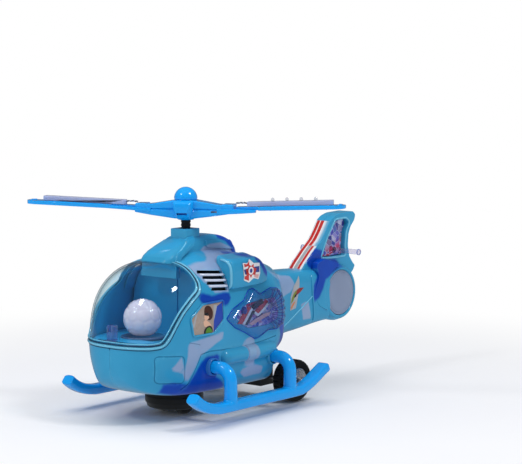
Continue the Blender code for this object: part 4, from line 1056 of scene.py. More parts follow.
# a raised rib on the bulkhead and a wiring cover on the floor, as moulded
add("liner_seam_rib", soften(block((1.4, 1.2, 46), (6.0, -18.9, 96)), 0.4), LINER)
add("liner_floor_step", soften(prism(rounded([(-30, -70), (30, -70), (24, -86), (-24, -86)], 5), 68.7, 69.9, 'z'), 0.5), LINER)
add("liner_wall_channel", soften(block((2.2, 1.6, 60), (29.0, -19.2, 98)), 0.6), LINER)
bm = soften(block((7.3, 6.8, 13.2), (-7.0, -85.0, 75.7)), 1.1, 3)
blk = to_object("cockpit_lamp_block", bm)
cut(blk, block((3.8, 20, 7), (-7.0, -85.0, 80.2)))
finish(blk, BLOCK_CLEAR, rep=("cockpit_light_block",))
add("cockpit_lamp_foot", soften(prism(rounded([(-12.5, -89.5), (-1.5, -89.5), (-1.5, -80.5), (-12.5, -80.5)], 1.6), 68.7, 70.0, 'z'), 0.4), BLOCK_CLEAR)

# the light ball: rounded petals round the crown, rows offset from each other
BALL_Y, BALL_Z, BALL_R = -55.5, 85.5, 16.3
dirs = [Vector((0, 0, 1))]
for elev, count, off in ((52, 6, 0.2), (16, 9, 0.0), (-20, 9, 0.35), (-50, 7, 0.1)):
    for k in range(count):
        a = 2 * math.pi * (k + off) / count
        e = math.radians(elev)
        dirs.append(Vector((math.cos(a) * math.cos(e), math.sin(a) * math.cos(e), math.sin(e))))
bm = bmesh.new()
bmesh.ops.create_uvsphere(bm, u_segments=112, v_segments=72, radius=1.0)
for v in bm.verts:
    d = v.co.normalized()
    dots = sorted((d.dot(n) for n in dirs), reverse=True)
    near = math.acos(max(-1, min(1, dots[0])))
    gap = max(0.0, math.acos(max(-1, min(1, dots[1]))) - near)
    dome = 1.0 - 0.030 * (near / 0.5) ** 2
    crease = -0.020 * math.exp(-(gap / 0.09) ** 2)
    r = BALL_R * min(1.0, dome + crease)
    p = d * r
    if p.z < -13.6:
        p.z = -13.6
    v.co = Vector((p.x, p.y + BALL_Y, p.z + BALL_Z))
add("light_ball_petals", bm, BALL, "light_ball_unit", ("light_ball",), sharp=None)
prof = [(0, 70.6), (14.5, 70.6), (16.2, 71.0), (17.6, 70.9), (18.6, 70.4), (18.8, 69.6), (18.5, 69.0), (2.8, 69.0), (2.8, 62.0), (0, 62.0)]
add("light_ball_ring", turned(prof, 'z', (0, BALL_Y, 0), 96), RING, "light_ball_unit", ("light_ball_base",))


# --------------------------------------------------- decals on the body
def decal_part(bm, outline, place, off, index, longest=2.2):
    """One printed colour area: a thin skin following the surface."""
    part = bmesh.new()
    vs = [part.verts.new((0, a, b)) for a, b in outline]
    part.faces.new(vs)
    densify(part, longest)
    vmap = {}
    for v in part.verts:
        vmap[v.index if v.index >= 0 else id(v)] = None
    part.verts.index_update()
    new = [bm.verts.new(place(v.co.y, v.co.z, off)) for v in part.verts]
    for f in part.faces:
        nf = bm.faces.new([new[v.index] for v in f.verts])
        nf.material_index = index
    part.free()


def decal(name, areas, place, mats, body="airframe", thick=0.12):
    """areas: (outline, material index, lift); each higher area lies on the one below."""
    bm = bmesh.new()
    for outline, index, lift in areas:
        decal_part(bm, outline, place, lift, index)
    me = bpy.data.meshes.new(name)
    bmesh.ops.recalc_face_normals(bm, faces=bm.faces)
    bm.to_mesh(me)
    bm.free()
    me.transform(TO_FRAME)
    o = bpy.data.objects.new(name, me)
    scene.collection.objects.link(o)
    for m in mats:
        me.materials.append(m)
    me.shade_smooth()
    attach(o, body)
    return o


def turn2(pts, c, deg, s=1.0):
    a = math.radians(deg)
    return [(c[0] + s * (x * math.cos(a) - y * math.sin(a)), c[1] + s * (x * math.sin(a) + y * math.cos(a))) for x, y in pts]


WINDOW = [(-50.2, 88.6), (-34.2, 98.6), (-9.6, 99.6), (-10.4, 83.6), (-23.2, 73.4), (-48.0, 73.6)]


def inset(outline, d):
    n = len(outline)
    area = sum(outline[i][0] * outline[(i + 1) % n][1] - outline[(i + 1) % n][0] * outline[i][1] for i in range(n))
    d = d if area > 0 else -d
    out = []
    for i in range(n):
        p = Vector(outline[i])
        a = (p - Vector(outline[i - 1])).normalized()
        b = (Vector(outline[(i + 1) % n]) - p).normalized()
        m = Vector((-a.y, a.x)) + Vector((-b.y, b.x))
        m = m / max(m.length_squared, 0.5) * 2
        out.append(tuple(p + m * d))
    return out


for side, t in ((1, "left"), (-1, "right")):
    place = lambda y, z, off, side=side: on_side(y, z, off, side)
    # raised frame round the side window and the picture in it
    loop = resample(rounded(WINDOW, 2.2, 4), 1.2)
    bm = sweep([on_side(a, b, 0.35, side) for a, b in loop], 0.95, 10, (1.0, 1.05), closed=True, up=(side, 0.02, 0.05))
    camouflage(add("side_window_frame_" + t, bm, BODY_PAINT, sharp=60))
    glass = inset(WINDOW, 1.0)
    # a plain round helmet with a visor over a green jacket
    seat = [(-35.5, 74.3), (-34.8, 77.6), (-31.0, 80.2), (-27.0, 80.6), (-24.6, 78.2), (-24.2, 74.8)]
    head = [(-32.6, 95.4), (-29.0, 97.4), (-25.0, 96.2), (-22.8, 92.0), (-23.6, 87.0), (-26.6, 84.6), (-30.6, 85.6), (-33.4, 90.0)]
    stick = [(-35.2, 84.4), (-32.4, 86.0), (-27.0, 82.6), (-25.6, 79.8), (-30.4, 78.8), (-34.4, 80.6)]
    belt = [(-33.4, 74.6), (-31.6, 78.2), (-28.0, 79.4), (-25.4, 77.0), (-25.0, 74.8)]
    decal("side_window_picture_" + t,
          [(glass, 0, 0.18),
           ([(-22.5, 84.0), (-17.5, 95.5), (-11.0, 98.4), (-11.4, 84.4), (-23.4, 74.8)], 1, 0.24),
           ([(-22.5, 84.0), (-21.5, 96.5), (-17.5, 97.0), (-17.5, 95.5)], 6, 0.24),
           ([(-48.6, 82), (-44, 90.5), (-41.5, 92.2), (-46.6, 80.5)], 6, 0.23),
           (rounded(head, 1.8), 2, 0.26), (rounded(stick, 1.0), 4, 0.28), (rounded(seat, 1.4), 5, 0.30), (rounded(belt, 1.0), 3, 0.33),
           (rounded([(-34.0, 88.2), (-32.6, 91.6), (-28.6, 90.6), (-27.8, 87.0), (-30.6, 85.2), (-33.4, 86.0)], 1.0), 4, 0.31),
           (rounded([(-33.6, 89.6), (-32.4, 91.8), (-28.4, 90.8), (-28.2, 88.6)], 0.6), 5, 0.34)],
          place, [P_TAN, P_COBALT, P_BROWN, P_GREEN, P_SKIN, P_BLACK, P_GREY])
    # boom sticker: three swept leaves
    leaf = [(0, 0), (5, 2.4), (12, 2.6), (19, 0), (12, -1.4), (5, -1.6)]
    decal("boom_sticker_" + t,
          [(turn2([(-2, -4), (8, -6.5), (21, 8), (28, 19), (14, 15), (4, 8)], (122.5, 77.5), 22, 0.92), 0, 0.14),
               (turn2(leaf, (126.5, 86.0), 18, 1.05), 1, 0.18), (turn2(leaf, (123.5, 79.5), 48, 0.86), 2, 0.20),
               (turn2(leaf, (122.5, 74.2), 40, 0.6), 3, 0.21), (turn2([(0, 0), (3, 1.2), (7, 0), (3, -1.2)], (128.5, 84.5), 30, 1.0), 4, 0.24)],
          place, [P_GREY, P_DARKRED, P_OLIVE, P_ORANGE, P_BLACK])
    # beaded line along the lower side of the boom
    bm = sweep([on_side(a, b, 0.1, side) for a, b in [(p.x, p.y) for p in smooth_path([(98, 54.5, 0), (117.9, 62.5, 0), (138.6, 72.5, 0),
               (159.6, 83.0, 0)], 2)]], 0.65, 8, up=(side, 0, 0.3))
    add("boom_bead_" + t, bm, HIGHLIGHT_RIM_TEAL, sharp=None)
    # lavender blades between the air slots
    bm = bmesh.new()
    for ya, yb, za, zb in ((-26.6, -0.6, 121.9, 119.8), (-24.9, -0.6, 117.3, 115.4), (-22.4, -1.0, 112.4, 110.8)):
        path = [on_side(ya + (yb - ya) * k / 12, za + (zb - za) * k / 12, 0.0, side) for k in range(13)]
        sweep(path, 1.05, 10, (1.0, 1.1), up=(side, 0, 0.3), bm=bm)
    add("air_slot_blades_" + t, bm, LOUVRE, sharp=None)
    # engine pod
    POD = []
    rows = [(0.0, 131.0, 109.3, 49.3), (1.2, 132.8, 108.0, 51.0), (4, 133.4, 107.6, 51.5), (20, 133.6, 107.8, 51.6), (34, 133.4, 108.2, 51.5),
            (42, 131.2, 108.6, 50.4), (48, 127.0, 109.2, 49.0), (52, 121.5, 110.0, 47.8), (54, 116.5, 111.5, 46.0)]
    ys = [0.0, 0.35, 0.8, 1.4, 2.2, 3.2] + [4.5 + 1.8 * k for k in range(27)] + [53.0, 53.6, 54.0]
    for y in [v for v in ys if v <= 54.0]:
        top, bot, xo = lerp_table(rows, y)
        ctrl = [(34.0, 0, bot + 1.5), (xo - 4, 0, bot), (xo - 0.8, 0, bot + 0.4), (xo, 0, bot + 2.6), (xo, 0, (top + bot) / 2 + 2),
                (xo - 1.2, 0, top - 3.6), (xo - 4.6, 0, top - 0.6), (xo - 10, 0, top), (34.0, 0, top + 2)]
        POD.append([Vector((side * p.x, y, p.z)) for p in spline(ctrl, 34)])
    bm = loft(POD)
    pod = add("engine_pod_" + t, bm, BODY_PAINT, sharp=45)
    camouflage(pod, lav=[])
    # rounded front edge of the pod, as a raised lip down its face
    lip = [Vector((side * x, y, z)) for x, y, z in [(38.5, 0.6, 132.2), (42.5, 0.3, 131.7), (46.5, 0.2, 130.0), (49.0, 0.2, 126.8), (49.9, 0.2, 122),
                                                    (50.0, 0.2, 116), (49.6, 0.3, 111.6), (47.6, 0.6, 108.9)]]
    add("engine_pod_lip_" + t, sweep(smooth_path(lip, 1.0), 1.15, 10, up=(0, 1, 0)), HIGHLIGHT_RIM_TEAL, sharp=None)

    def on_pod(y, z, off, side=side):
        top, bot, xo = lerp_table(rows, y)
        x = xo if z < top - 5 else xo - (z - top + 5) ** 2 * 0.13
        return Vector((side * (x + off), y, z))
    star = []
    for k in range(14):
        a = 2 * math.pi * k / 14
        r = 8.6 if k % 2 == 0 else 5.2
        star.append((24.5 + r * math.cos(a + 0.2) * 1.1, 121.6 + r * math.sin(a + 0.2) * 0.92))
    inner_star = [(24.5 + (a - 24.5) * 0.8, 121.6 + (b - 121.6) * 0.8) for a, b in star]
    ring_pts = [(24.5 + 3.4 * math.cos(k * math.pi / 10), 121.6 + 3.4 * math.sin(k * math.pi / 10)) for k in range(20)]
    shield = [(13.2, 129.2), (19.4, 128.4), (23, 131.6), (28, 127.8), (36.5, 127.4), (37.5, 118), (34.8, 113.2), (28, 115.0), (21.5, 111.6),
              (14.6, 114.4), (15.6, 121.4)]
    decal("pod_sticker_" + t,
          [(rounded(shield, 0.8, 2), 0, 0.12), ([(14.8, 123.2), (22.8, 124.4), (22.8, 119.6), (16.6, 118.8)], 1, 0.17),
           ([(27.2, 124.6), (36.2, 124.6), (36.3, 119.4), (27.2, 119.8)], 1, 0.17),
           ([(14.8, 128.3), (18.8, 127.6), (22.4, 130.2), (22.0, 126.0), (15.8, 125.2)], 2, 0.16),
           ([(16.2, 117.6), (21.8, 118.6), (21.5, 113.2), (15.6, 115.2)], 2, 0.16),
           ([(28.4, 118.4), (35.6, 117.4), (34.0, 114.2), (28.6, 115.8)], 3, 0.16),
           (inner_star, 2, 0.20), (ring_pts, 0, 0.24), ([(24.5 + (a - 24.5) * 0.55, 121.6 + (b - 121.6) * 0.55) for a, b in ring_pts], 1, 0.28)],
          on_pod, [P_WHITE, P_BLUE, P_RED, P_PINK])
    # long round-nosed fairing on the lower side, with its ring
    prof = [(0.0, -15.0)] + [(7.2 * math.sin(math.radians(a)), -7.8 - 7.2 * math.cos(math.radians(a))) for a in (12, 25, 38, 51, 64, 77, 90)] + \
           [(7.3, 8.0), (7.3, 16.6), (6.9, 17.0), (6.9, 17.8), (7.5, 18.2), (7.5, 27.0), (7.0, 27.4), (7.0, 28.0), (7.3, 28.4), (7.2, 44), (6.0, 56), (0, 57)]
    bm = turned(prof, 'y', (side * 48.6, 0, 51.5), 56)
    camouflage(add("lower_fairing_" + t, bm, BODY_PAINT, sharp=40))
    # sockets that hold the skid struts
    for k, (sy, z) in enumerate(((-25.2, 45.7), (54.6, 44.6))):
        prof = [(6.2, 46.0), (7.5, 46.0), (7.5, 52.4), (7.2, 53.1), (6.7, 53.3), (6.2, 53.0)]
        bm = turned(prof, 'x', (0, sy, z), 48)
        if side < 0:
            mirrored(bm)
        camouflage(add("strut_socket_%s_%d" % (t, k), bm, BODY_PAINT, sharp=50))


# ----------------------------------------------------- side light covers
def star_rays(outline, count=144):
    """Points where rays from the middle cross a star-shaped outline."""
    c = Vector((38.0, 84.0))
    n = len(outline)
    out = []
    for k in range(count):
        a = 2 * math.pi * k / count
        d = Vector((math.cos(a), math.sin(a)))
        best = None
        for i in range(n):
            p, q = Vector(outline[i]), Vector(outline[(i + 1) % n])
            e = q - p
            den = d.x * e.y - d.y * e.x
            if abs(den) < 1e-9:
                continue
            w = p - c
            tt = (w.x * e.y - w.y * e.x) / den
            u = (w.x * d.y - w.y * d.x) / den
            if tt > 0 and -1e-6 <= u <= 1 + 1e-6 and (best is None or tt > best):
                best = tt
        out.append(c + d * best)
    return c, out


LENS_FINE = rounded(LENS, 1.0, 3)
C0, RAYS = star_rays(LENS_FINE, 180)


def lens_offset(u, a, y):
    """Height of the cover over the body: a soft pillow with raised facets and,
    behind, a fan of ribs."""
    base = 5.2 * (1 - max(0.0, (u - 0.80) / 0.20) ** 2.2)
    base -= 0.9 * (1 - u) ** 2
    fan = max(0.0, min(1.0, (y - 46) / 8.0)) * max(0.0, min(1.0, (u - 0.25) / 0.2)) * (1 if u < 0.93 else 0)
    ribs = 0.42 * fan * math.cos(a * 30)
    star = 0.45 * (1 - fan) * math.cos(a * 6 + 1.0) * (1 - u) * 2.0 * u
    return min(5.35, base * 0.96 + ribs + star)


for side, t in ((1, "left"), (-1, "right")):
    bm = bmesh.new()
    rows_v = []
    us = [0.0, 0.08, 0.16, 0.25, 0.34, 0.43, 0.52, 0.6, 0.68, 0.75, 0.81, 0.86, 0.90, 0.935, 0.96, 0.98, 1.0]
    centre = bm.verts.new(on_side(C0.x, C0.y, lens_offset(0, 0, C0.x), side))
    for u in us[1:]:
        row = []
        for k, q in enumerate(RAYS):
            p = C0.lerp(q, u)
            a = 2 * math.pi * k / len(RAYS)
            off = lens_offset(u, a, p.x) if u < 1.0 else 0.25
            row.append(bm.verts.new(on_side(p.x, p.y, off, side)))
        rows_v.append(row)
    n = len(RAYS)
    for k in range(n):
        bm.faces.new((centre, rows_v[0][k], rows_v[0][(k + 1) % n]))
        for r0, r1 in zip(rows_v, rows_v[1:]):
            bm.faces.new((r0[k], r1[k], r1[(k + 1) % n], r0[(k + 1) % n]))
    lens = to_object("side_lamp_cover_" + t, bm)
    ref = max(lens.data.polygons, key=lambda f: f.center.x * side)
    if ref.normal.x * side < 0:
        lens.data.flip_normals()
    s = lens.modifiers.new("wall", 'SOLIDIFY')
    s.thickness = 0.9 * MM
    s.offset = -1.0
    apply_all(lens)
    finish(lens, LENS_CLEAR, rep=("light_cover_" + t,), sharp=24)
    # dark outline where the cover meets the body
    loop = [on_side(q.x, q.y, 0.25, side) for q in RAYS]
    add("side_lamp_edge_" + t, sweep(thin_out(loop, 0.5), 0.42, 6, closed=True, up=(side, 0.02, 0.05)), COB, sharp=None)
    # reflector behind the cover: cut-glass relief with red, pink, white and black bands
    bm = bmesh.new()
    hole = inset(rounded(LENS_HOLE, 2.5, 3), 0.3)
    decal_part(bm, hole, lambda y, z, off, side=side: on_side(y, z, off, side), -0.6, 0, 1.6)
    bands = [([(7.0, 78.0), (13, 84.5), (22, 91.0), (26, 90.0), (19, 83.5), (12.5, 77.0)], 1), ([(12.5, 77.0), (19, 83.5), (26, 90), (28, 89), (21.5, 82.5), (15.5, 76.2)], 4),
             ([(15.5, 76.2), (21.5, 82.5), (26.5, 87.4), (29.5, 86.2), (24, 80.6), (19, 75.5)], 5),
             ([(24.5, 90.8), (32, 93.6), (41, 95.5), (43, 92.0), (34, 89.6), (28.0, 87.5)], 5), ([(30.5, 86.0), (38, 90.5), (47, 94.6), (50, 92.4), (42, 87.6), (34.5, 83.5)], 1),
             ([(29, 84.2), (30.5, 86.0), (34.5, 83.5), (42, 87.6), (50, 92.4), (51.5, 91), (43.5, 86.0), (33.5, 81.5)], 4),
             ([(22, 76.2), (30, 79.4), (42, 82.6), (52, 83.4), (50, 80.6), (38, 78.2), (26, 74.6)], 3)]
    for outline, index in bands:
        decal_part(bm, outline, lambda y, z, off, side=side: on_side(y, z, off, side), 0.5 + 0.15 * index, index, 1.6)
    me = bpy.data.meshes.new("side_reflector_" + t)
    bmesh.ops.recalc_face_normals(bm, faces=bm.faces)
    bm.to_mesh(me)
    bm.free()
    me.transform(TO_FRAME)
    for m in (REFLECT_CRYSTAL, P_RED, SILVER, P_PINK, P_WHITE, P_BLACK):
        me.materials.append(m)
    refl = bpy.data.objects.new("side_reflector_" + t, me)
    scene.collection.objects.link(refl)
    s = refl.modifiers.new("wall", 'SOLIDIFY')
    s.thickness = 0.8 * MM
    s.offset = 0.0
    apply_all(refl)
    finish(refl, [REFLECT_CRYSTAL, P_RED, SILVER, P_PINK, P_WHITE, P_BLACK], rep=("light_reflector_" + t,), sharp=40)
    # fan of ribs moulded into the cover's rear half, drawn in opaque dark violet: painted shade for the dark lines the
    # clear ribs show
    bm = bmesh.new()
    for k, q in enumerate(RAYS):
        p = C0.lerp(q, 0.93)
        if k % 3 == 0 and p.x > 52.0:
            path = []
            for i in range(9):
                u = 0.36 + 0.57 * i / 8
                p = C0.lerp(q, u)
                path.append(on_side(p.x, p.y, lens_offset(u, 2 * math.pi * k / len(RAYS), p.x) - 0.15, side))
            sweep(path, 0.30, 6, up=(side, 0, 0.2), bm=bm)
    add("side_lamp_ribs_" + t, bm, RIB, sharp=None)
    # the round lamp bead and its collar
    c = on_side(17.0, 87.6, 0, 1)
    prof = [(0, 2.9), (1.2, 2.7), (2.2, 2.0), (2.7, 1.0), (2.8, 0.3), (3.9, 0.2), (4.1, -0.4), (0, -0.4)]
    bm = turned(prof, 'x', (c.x - 0.2, c.y, c.z), 40)
    if side < 0:
        mirrored(bm)
    add("side_lamp_bead_" + t, bm, P_BLUE, sharp=40)


# --------------------------------------------------------------- mast cowl
RIDGE = [(-43, 11, 8, 129.5), (-40.5, 15, 11, 134), (-34, 17, 13, 138.5), (-22, 16.5, 12.5, 144), (-11, 15.5, 11, 147.5),
         (8, 15.5, 11.5, 150), (20, 16, 12, 150.3), (32, 16, 12, 148.8), (42, 15.5, 11.5, 145.5),
         (48, 14.5, 10.5, 142), (52, 13, 9, 137.5), (54, 12, 8, 132)]


def ridge(grow, y0, y1, step=1.3):
    rows = []
    n = max(2, int((y1 - y0) / step))
    for k in range(n + 1):
        y = y0 + (y1 - y0) * k / n
        wf, wt, zt = lerp_table(RIDGE, y)
        half = spline([(wf + 0.6, 0, 118), (wf, 0, (zt + 131) / 2), (wt, 0, zt), (wt * 0.5, 0, zt + 0.4), (0, 0, zt + 0.5)], 26)
        pts = []
        for i, p in enumerate(half):
            a, b = half[max(i - 1, 0)], half[min(i + 1, len(half) - 1)]
            d = Vector((b.z - a.z, 0, a.x - b.x)).normalized()
            pts.append(Vector((p.x, y, p.z)) + d * grow)
        pts[-1].x = 0.0
        rows.append(pts + [Vector((-p.x, p.y, p.z)) for p in pts[-2::-1]])
    return loft(rows)


cowl = to_object("mast_cowl_skin", ridge(0.0, -43, 54))
cut(cowl, solid_body(-1.0, -60, 78))
cut(cowl, turned([(0, 30), (4.7, 30), (4.7, -30), (0, -30)], 'z', (0, 0, 145), 48))
camouflage(cowl)
finish(cowl, BODY_PAINT, rep=("mast_cowl",), sharp=40)
HOOD_CUT = [(-46, 118), (-46, 170), (-6, 170), (-8.5, 150.5), (-12.5, 146.6), (-21.5, 142.6), (-30.3, 138.4), (-33.6, 134.0), (-35.5, 118)]
hood = to_object("mast_cowl_hood", ridge(0.9, -43.4, 4))
cut(hood, prism(HOOD_CUT, -30, 30), 'INTERSECT')
cut(hood, solid_body(-0.6, -60, 20))
finish(hood, BODY_PAINT, sharp=40)
camouflage(hood)
band_cut = [(-8.5, 150.5), (-12.5, 146.6), (-21.5, 142.6), (-30.3, 138.4), (-33.6, 134.0), (-35.5, 118), (-32.6, 118), (-30.9, 133.4), (-27.8, 136.6),
            (-19.5, 140.4), (-10.0, 145.0), (-6.0, 150.0)]
band_cut = band_cut[:6] + [(-30.4, 118), (-28.4, 132.2), (-25.2, 135.2), (-17.2, 139.0), (-8.0, 143.2), (-3.0, 149.5), (-3.5, 158), (-8.5, 158)]
band = to_object("mast_cowl_band", ridge(2.1, -43.2, 6))
cut(band, prism(band_cut, -30, 30), 'INTERSECT')
camouflage(band)
finish(band, BODY_PAINT, sharp=40)
raised = to_object("mast_cowl_panel", ridge(1.2, 8.6, 46.0))
cut(raised, prism(rounded([(9.2, 146.6), (44.4, 144.2), (45.2, 136.2), (8.6, 140.6)], 1.5, 3), -30, 30), 'INTERSECT')
camouflage(raised)
finish(raised, BODY_PAINT, sharp=40)


def ridge_x(y, z):
    wf, wt, zt = lerp_table(RIDGE, y)
    half = spline([(wf + 0.6, 0, 118), (wf, 0, (zt + 131) / 2), (wt, 0, zt), (wt * 0.5, 0, zt + 0.4), (0, 0, zt + 0.5)], 60)
    best = min((p for p in half if p.x > 2), key=lambda p: abs(p.z - z))
    return best.x


# crisp raised edges of the hood band, and of the skin behind it; the first in the lighter teal that paints its
# highlight
for k, (line, lift, r) in enumerate(((((-13.5, 146.2), (-17, 144.0), (-21.5, 141.6), (-26, 139.2), (-30.0, 136.6), (-32.6, 133.4), (-33.8, 129.5)), 1.2, 0.8),
                                     (((-9.5, 144.6), (-14.0, 142.4), (-19.0, 140.0), (-24.0, 137.2), (-27.4, 134.0), (-29.4, 129.5)), 1.5, 0.6))):
    bm = bmesh.new()
    for side in (1, -1):
        pts = [(side * (ridge_x(y, z) + lift), y, z + 0.5) for y, z in line]
        sweep(smooth_path(pts, 1.2), r, 10, up=(0, 0, 1), bm=bm)
    add("cowl_band_edge_%d" % (k + 1), bm, HIGHLIGHT_RIM_TEAL if k == 0 else BODY_PLAIN, sharp=None)
tower = to_object("mast_tower", soften(prism([(-9.4, -8.4), (-8.4, -10.15), (8.0, -10.15), (9.0, -8.4), (9.0, 7.4), (8.0, 8.35), (-8.4, 8.35), (-9.4, 7.4)],
                                             137, 156.7, 'z'), 0.7, 3, 20))
cut(tower, turned([(0, 30), (4.7, 30), (4.7, -30), (0, -30)], 'z', (0, 0, 145), 48))
cut(tower, turned([(0, 1), (6.3, 1), (6.3, -1.4), (0, -1.4)], 'z', (0, 0, 156.8), 48))
finish(tower, BODY_PLAIN, sharp=40)
# rear lamp boss on the hump
add("cowl_rear_cap", soften(prism(rounded([(47.5, 139.8), (51.5, 136.4), (53.2, 131.0), (47.5, 131.0)], 1.2, 3), -9.2, 9.2), 0.7), BODY_PLAIN)

# -------------------------------------------------------------------- tail
fin_outline = resample(rounded(FIN, 2.0, 4), 2.2)
for side, t in ((1, "left"), (-1, "right")):
    lo, hi = sorted((side * 0.12, side * 8.3))
    fin = to_object("tail_fin_" + t, prism(rounded(FIN, 1.6, 3), lo, hi))
    win = rounded(FIN_WINDOW, 2.2, 4)
    cut(fin, prism(win, -20, 20))
    b = fin.modifiers.new("edge", 'BEVEL')
    b.width = 1.0 * MM
    b.segments = 3
    b.limit_method = 'ANGLE'
    b.angle_limit = math.radians(50)
    apply_all(fin)
    bmf = bmesh.new()
    bmf.from_mesh(fin.data)
    densify(bmf, 3.2 * MM)
    bmf.to_mesh(fin.data)
    bmf.free()
    camouflage(fin)
    finish(fin, BODY_PAINT, rep=("fuselage_shell_" + t,), sharp=30, weighted=True)
    # raised lip round the fin's window
    loop = resample(rounded(inset(FIN_WINDOW, -1.2), 3.0, 4), 1.2)
    bm = sweep([Vector((side * 8.1, a, b)) for a, b in loop], 0.95, 10, closed=True, up=(1, 0, 0))
    add("fin_window_lip_" + t, bm, HIGHLIGHT_RIM_TEAL, sharp=None)
    # drum at the boom's end: thick rounded ring with the disc seated in it
    prof = [(0, 0.15), (26.3, 0.15), (26.9, 1.0), (27.0, 5.5), (26.8, 8.0), (26.1, 10.0), (25.4, 10.6), (25.3, 11.2), (25.2, 12.6), (24.6, 13.9), (23.4, 14.8), (22.3, 15.0), (21.6, 14.6),
            (21.3, 13.8), (21.3, 12.55),
            (19.5, 12.55), (0, 12.55)]
    bm = turned(prof, 'x', (0, *DRUM), 120)
    if side < 0:
        mirrored(bm)
    drum = to_object("tail_drum_" + t, bm)
    camouflage(drum)
    finish(drum, BODY_PAINT, sharp=40)
    prof = [(0, 15.9), (4, 15.86), (8, 15.72), (12, 15.5), (16, 15.15), (18.6, 14.85), (19.2, 14.5), (19.6, 14.2), (20.1, 14.45), (20.8, 14.3), (21.0, 13.8), (21.0, 12.8), (0, 12.8)]
    bm = turned(prof, 'x', (0, *DRUM), 120)
    if side < 0:
        mirrored(bm)
    add("tail_disc_face_" + t, bm, DISC, rep=("tail_disc_" + t,), sharp=45)
    # S-shaped moulding that wraps the drum's front
    arc = [(DRUM[0] + 25.4 * math.cos(math.radians(a)), DRUM[1] + 25.4 * math.sin(math.radians(a))) for a in range(96, 222, 6)]
    outer = [(170.5, 72.2), (166.0, 77.5), (163.6, 83.5), (164.8, 90.0), (168.5, 96.5), (169.5, 101.5), (166.5, 107.0), (168.5, 112.5), (178, 115.8), (190, 112.5), (200, 109.5)]
    bm = prism(rounded(arc + outer, 2.0, 3), *sorted((side * 7.0, side * 15.6)))
    mo = to_object("tail_moulding_" + t, soften(bm, 1.3, 3, 40))
    bmf = bmesh.new()
    bmf.from_mesh(mo.data)
    densify(bmf, 3.0 * MM)
    bmf.to_mesh(mo.data)
    bmf.free()
    camouflage(mo)
    finish(mo, BODY_PAINT, sharp=35, weighted=True)
    # collar where the boom steps down
    ring = [on_side(161.0 - 2.2 * math.sin((z - 70) / 14.0), z, 0.35, side) for z in [60 + k * 1.6 for k in range(27)]]
    camouflage(add("boom_collar_" + t, sweep(ring, 0.8, 8, up=(0, 1, 0)), BODY_PAINT, sharp=None))

# fin light panel
pan = to_object("fin_lamp_panel", soften(prism(rounded(inset(FIN_WINDOW, 0.45), 2.0, 3), -4.0, 4.0), 0.6, 2))
cut(pan, turned([(0, 30), (3.0, 30), (3.0, -30), (0, -30)], 'x', (0, 208.0, 120.5), 32))
bmf = bmesh.new()
bmf.from_mesh(pan.data)
densify(bmf, 1.3 * MM)
bmf.to_mesh(pan.data)
for v in bmf.verts:
    p = v.co / MM
    if abs(p.x) > 3.6:
        c = noise.cell(Vector((p.y * 0.16, p.z * 0.16, 0.5 * math.copysign(1, p.x))))
        q = noise.noise(Vector((p.y * 0.22, p.z * 0.22, p.x * 0.1)))
        v.co.x += math.copysign((0.75 * q - 0.15 + 0.35 * c) * MM, p.x)
bmf.to_mesh(pan.data)
bmf.free()


def fin_panel_look():
    g = Graph("fin_lamp_crystal_painted_glints")
    x, y, z = g.xyz()
    v = g.voronoi(165.0, out='Color')
    s = g.xyz(v)
    d = g.voronoi(165.0, feature='DISTANCE_TO_EDGE')
    col = g.ramp(s[0], [(0.0, srgb(34, 52, 132)), (0.2, srgb(78, 76, 182)), (0.36, srgb(168, 160, 232)), (0.5, srgb(52, 46, 138)),
                        (0.66, srgb(110, 150, 222)), (0.8, srgb(214, 212, 246)), (0.9, srgb(60, 36, 110)), (1.0, srgb(120, 66, 150))])
    low = g.range(g.math('ADD', z, g.math('MULTIPLY', y, -0.35)), 0.082, 0.074, 0.0, 1.0)
    red = g.math('MULTIPLY', low, g.range(s[1], 0.35, 0.55, 0.0, 0.85))
    col = g.mix(red, col, srgb(196, 30, 66))
    # near-white lines along the cell edges are painted glints, and the ramp's near-white cells paint facet reflections
    # among the facets' own colours
    col = g.mix(g.range(d, 0.0, 0.07, 0.7, 0.0), col, srgb(206, 206, 244))
    nor = g.bump(g.math('ADD', g.math('MULTIPLY', s[2], 0.7), g.range(d, 0.0, 0.2)), 0.8, 0.6 * MM)
    return g.done(g.principled(Base_Color=col, Roughness=0.1, Normal=nor, Coat_Weight=0.7, Coat_Roughness=0.03,
                               Subsurface_Weight=0.25, Subsurface_Scale=0.003))


finish(pan, fin_panel_look(), rep=("fin_light_panel",), sharp=25)
prof = [(0, 34.0), (2.2, 34.0), (2.7, 33.6), (2.7, 32.4), (2.35, 32.0), (2.35, 12.0), (2.6, 11.4), (2.6, -11.4), (2.35, -12.0), (2.35, -32.0), (2.7, -32.4), (2.7, -33.6),
        (2.2, -34.0), (0, -34.0)]
add("tail_lamp_tube", turned(prof, 'x', (0, 208.0, 120.5), 40), TUBE, rep=("tail_light_tube",), sharp=40)
bm = bmesh.new()
for x in (32.9, -32.9):
    turned([(2.55, 0.55), (2.95, 0.55), (2.95, -0.55), (2.55, -0.55)], 'x', (x, 208.0, 120.5), 32, bm=bm)
add("tail_lamp_tube_rings", bm, BLOCK_CLEAR, sharp=40)
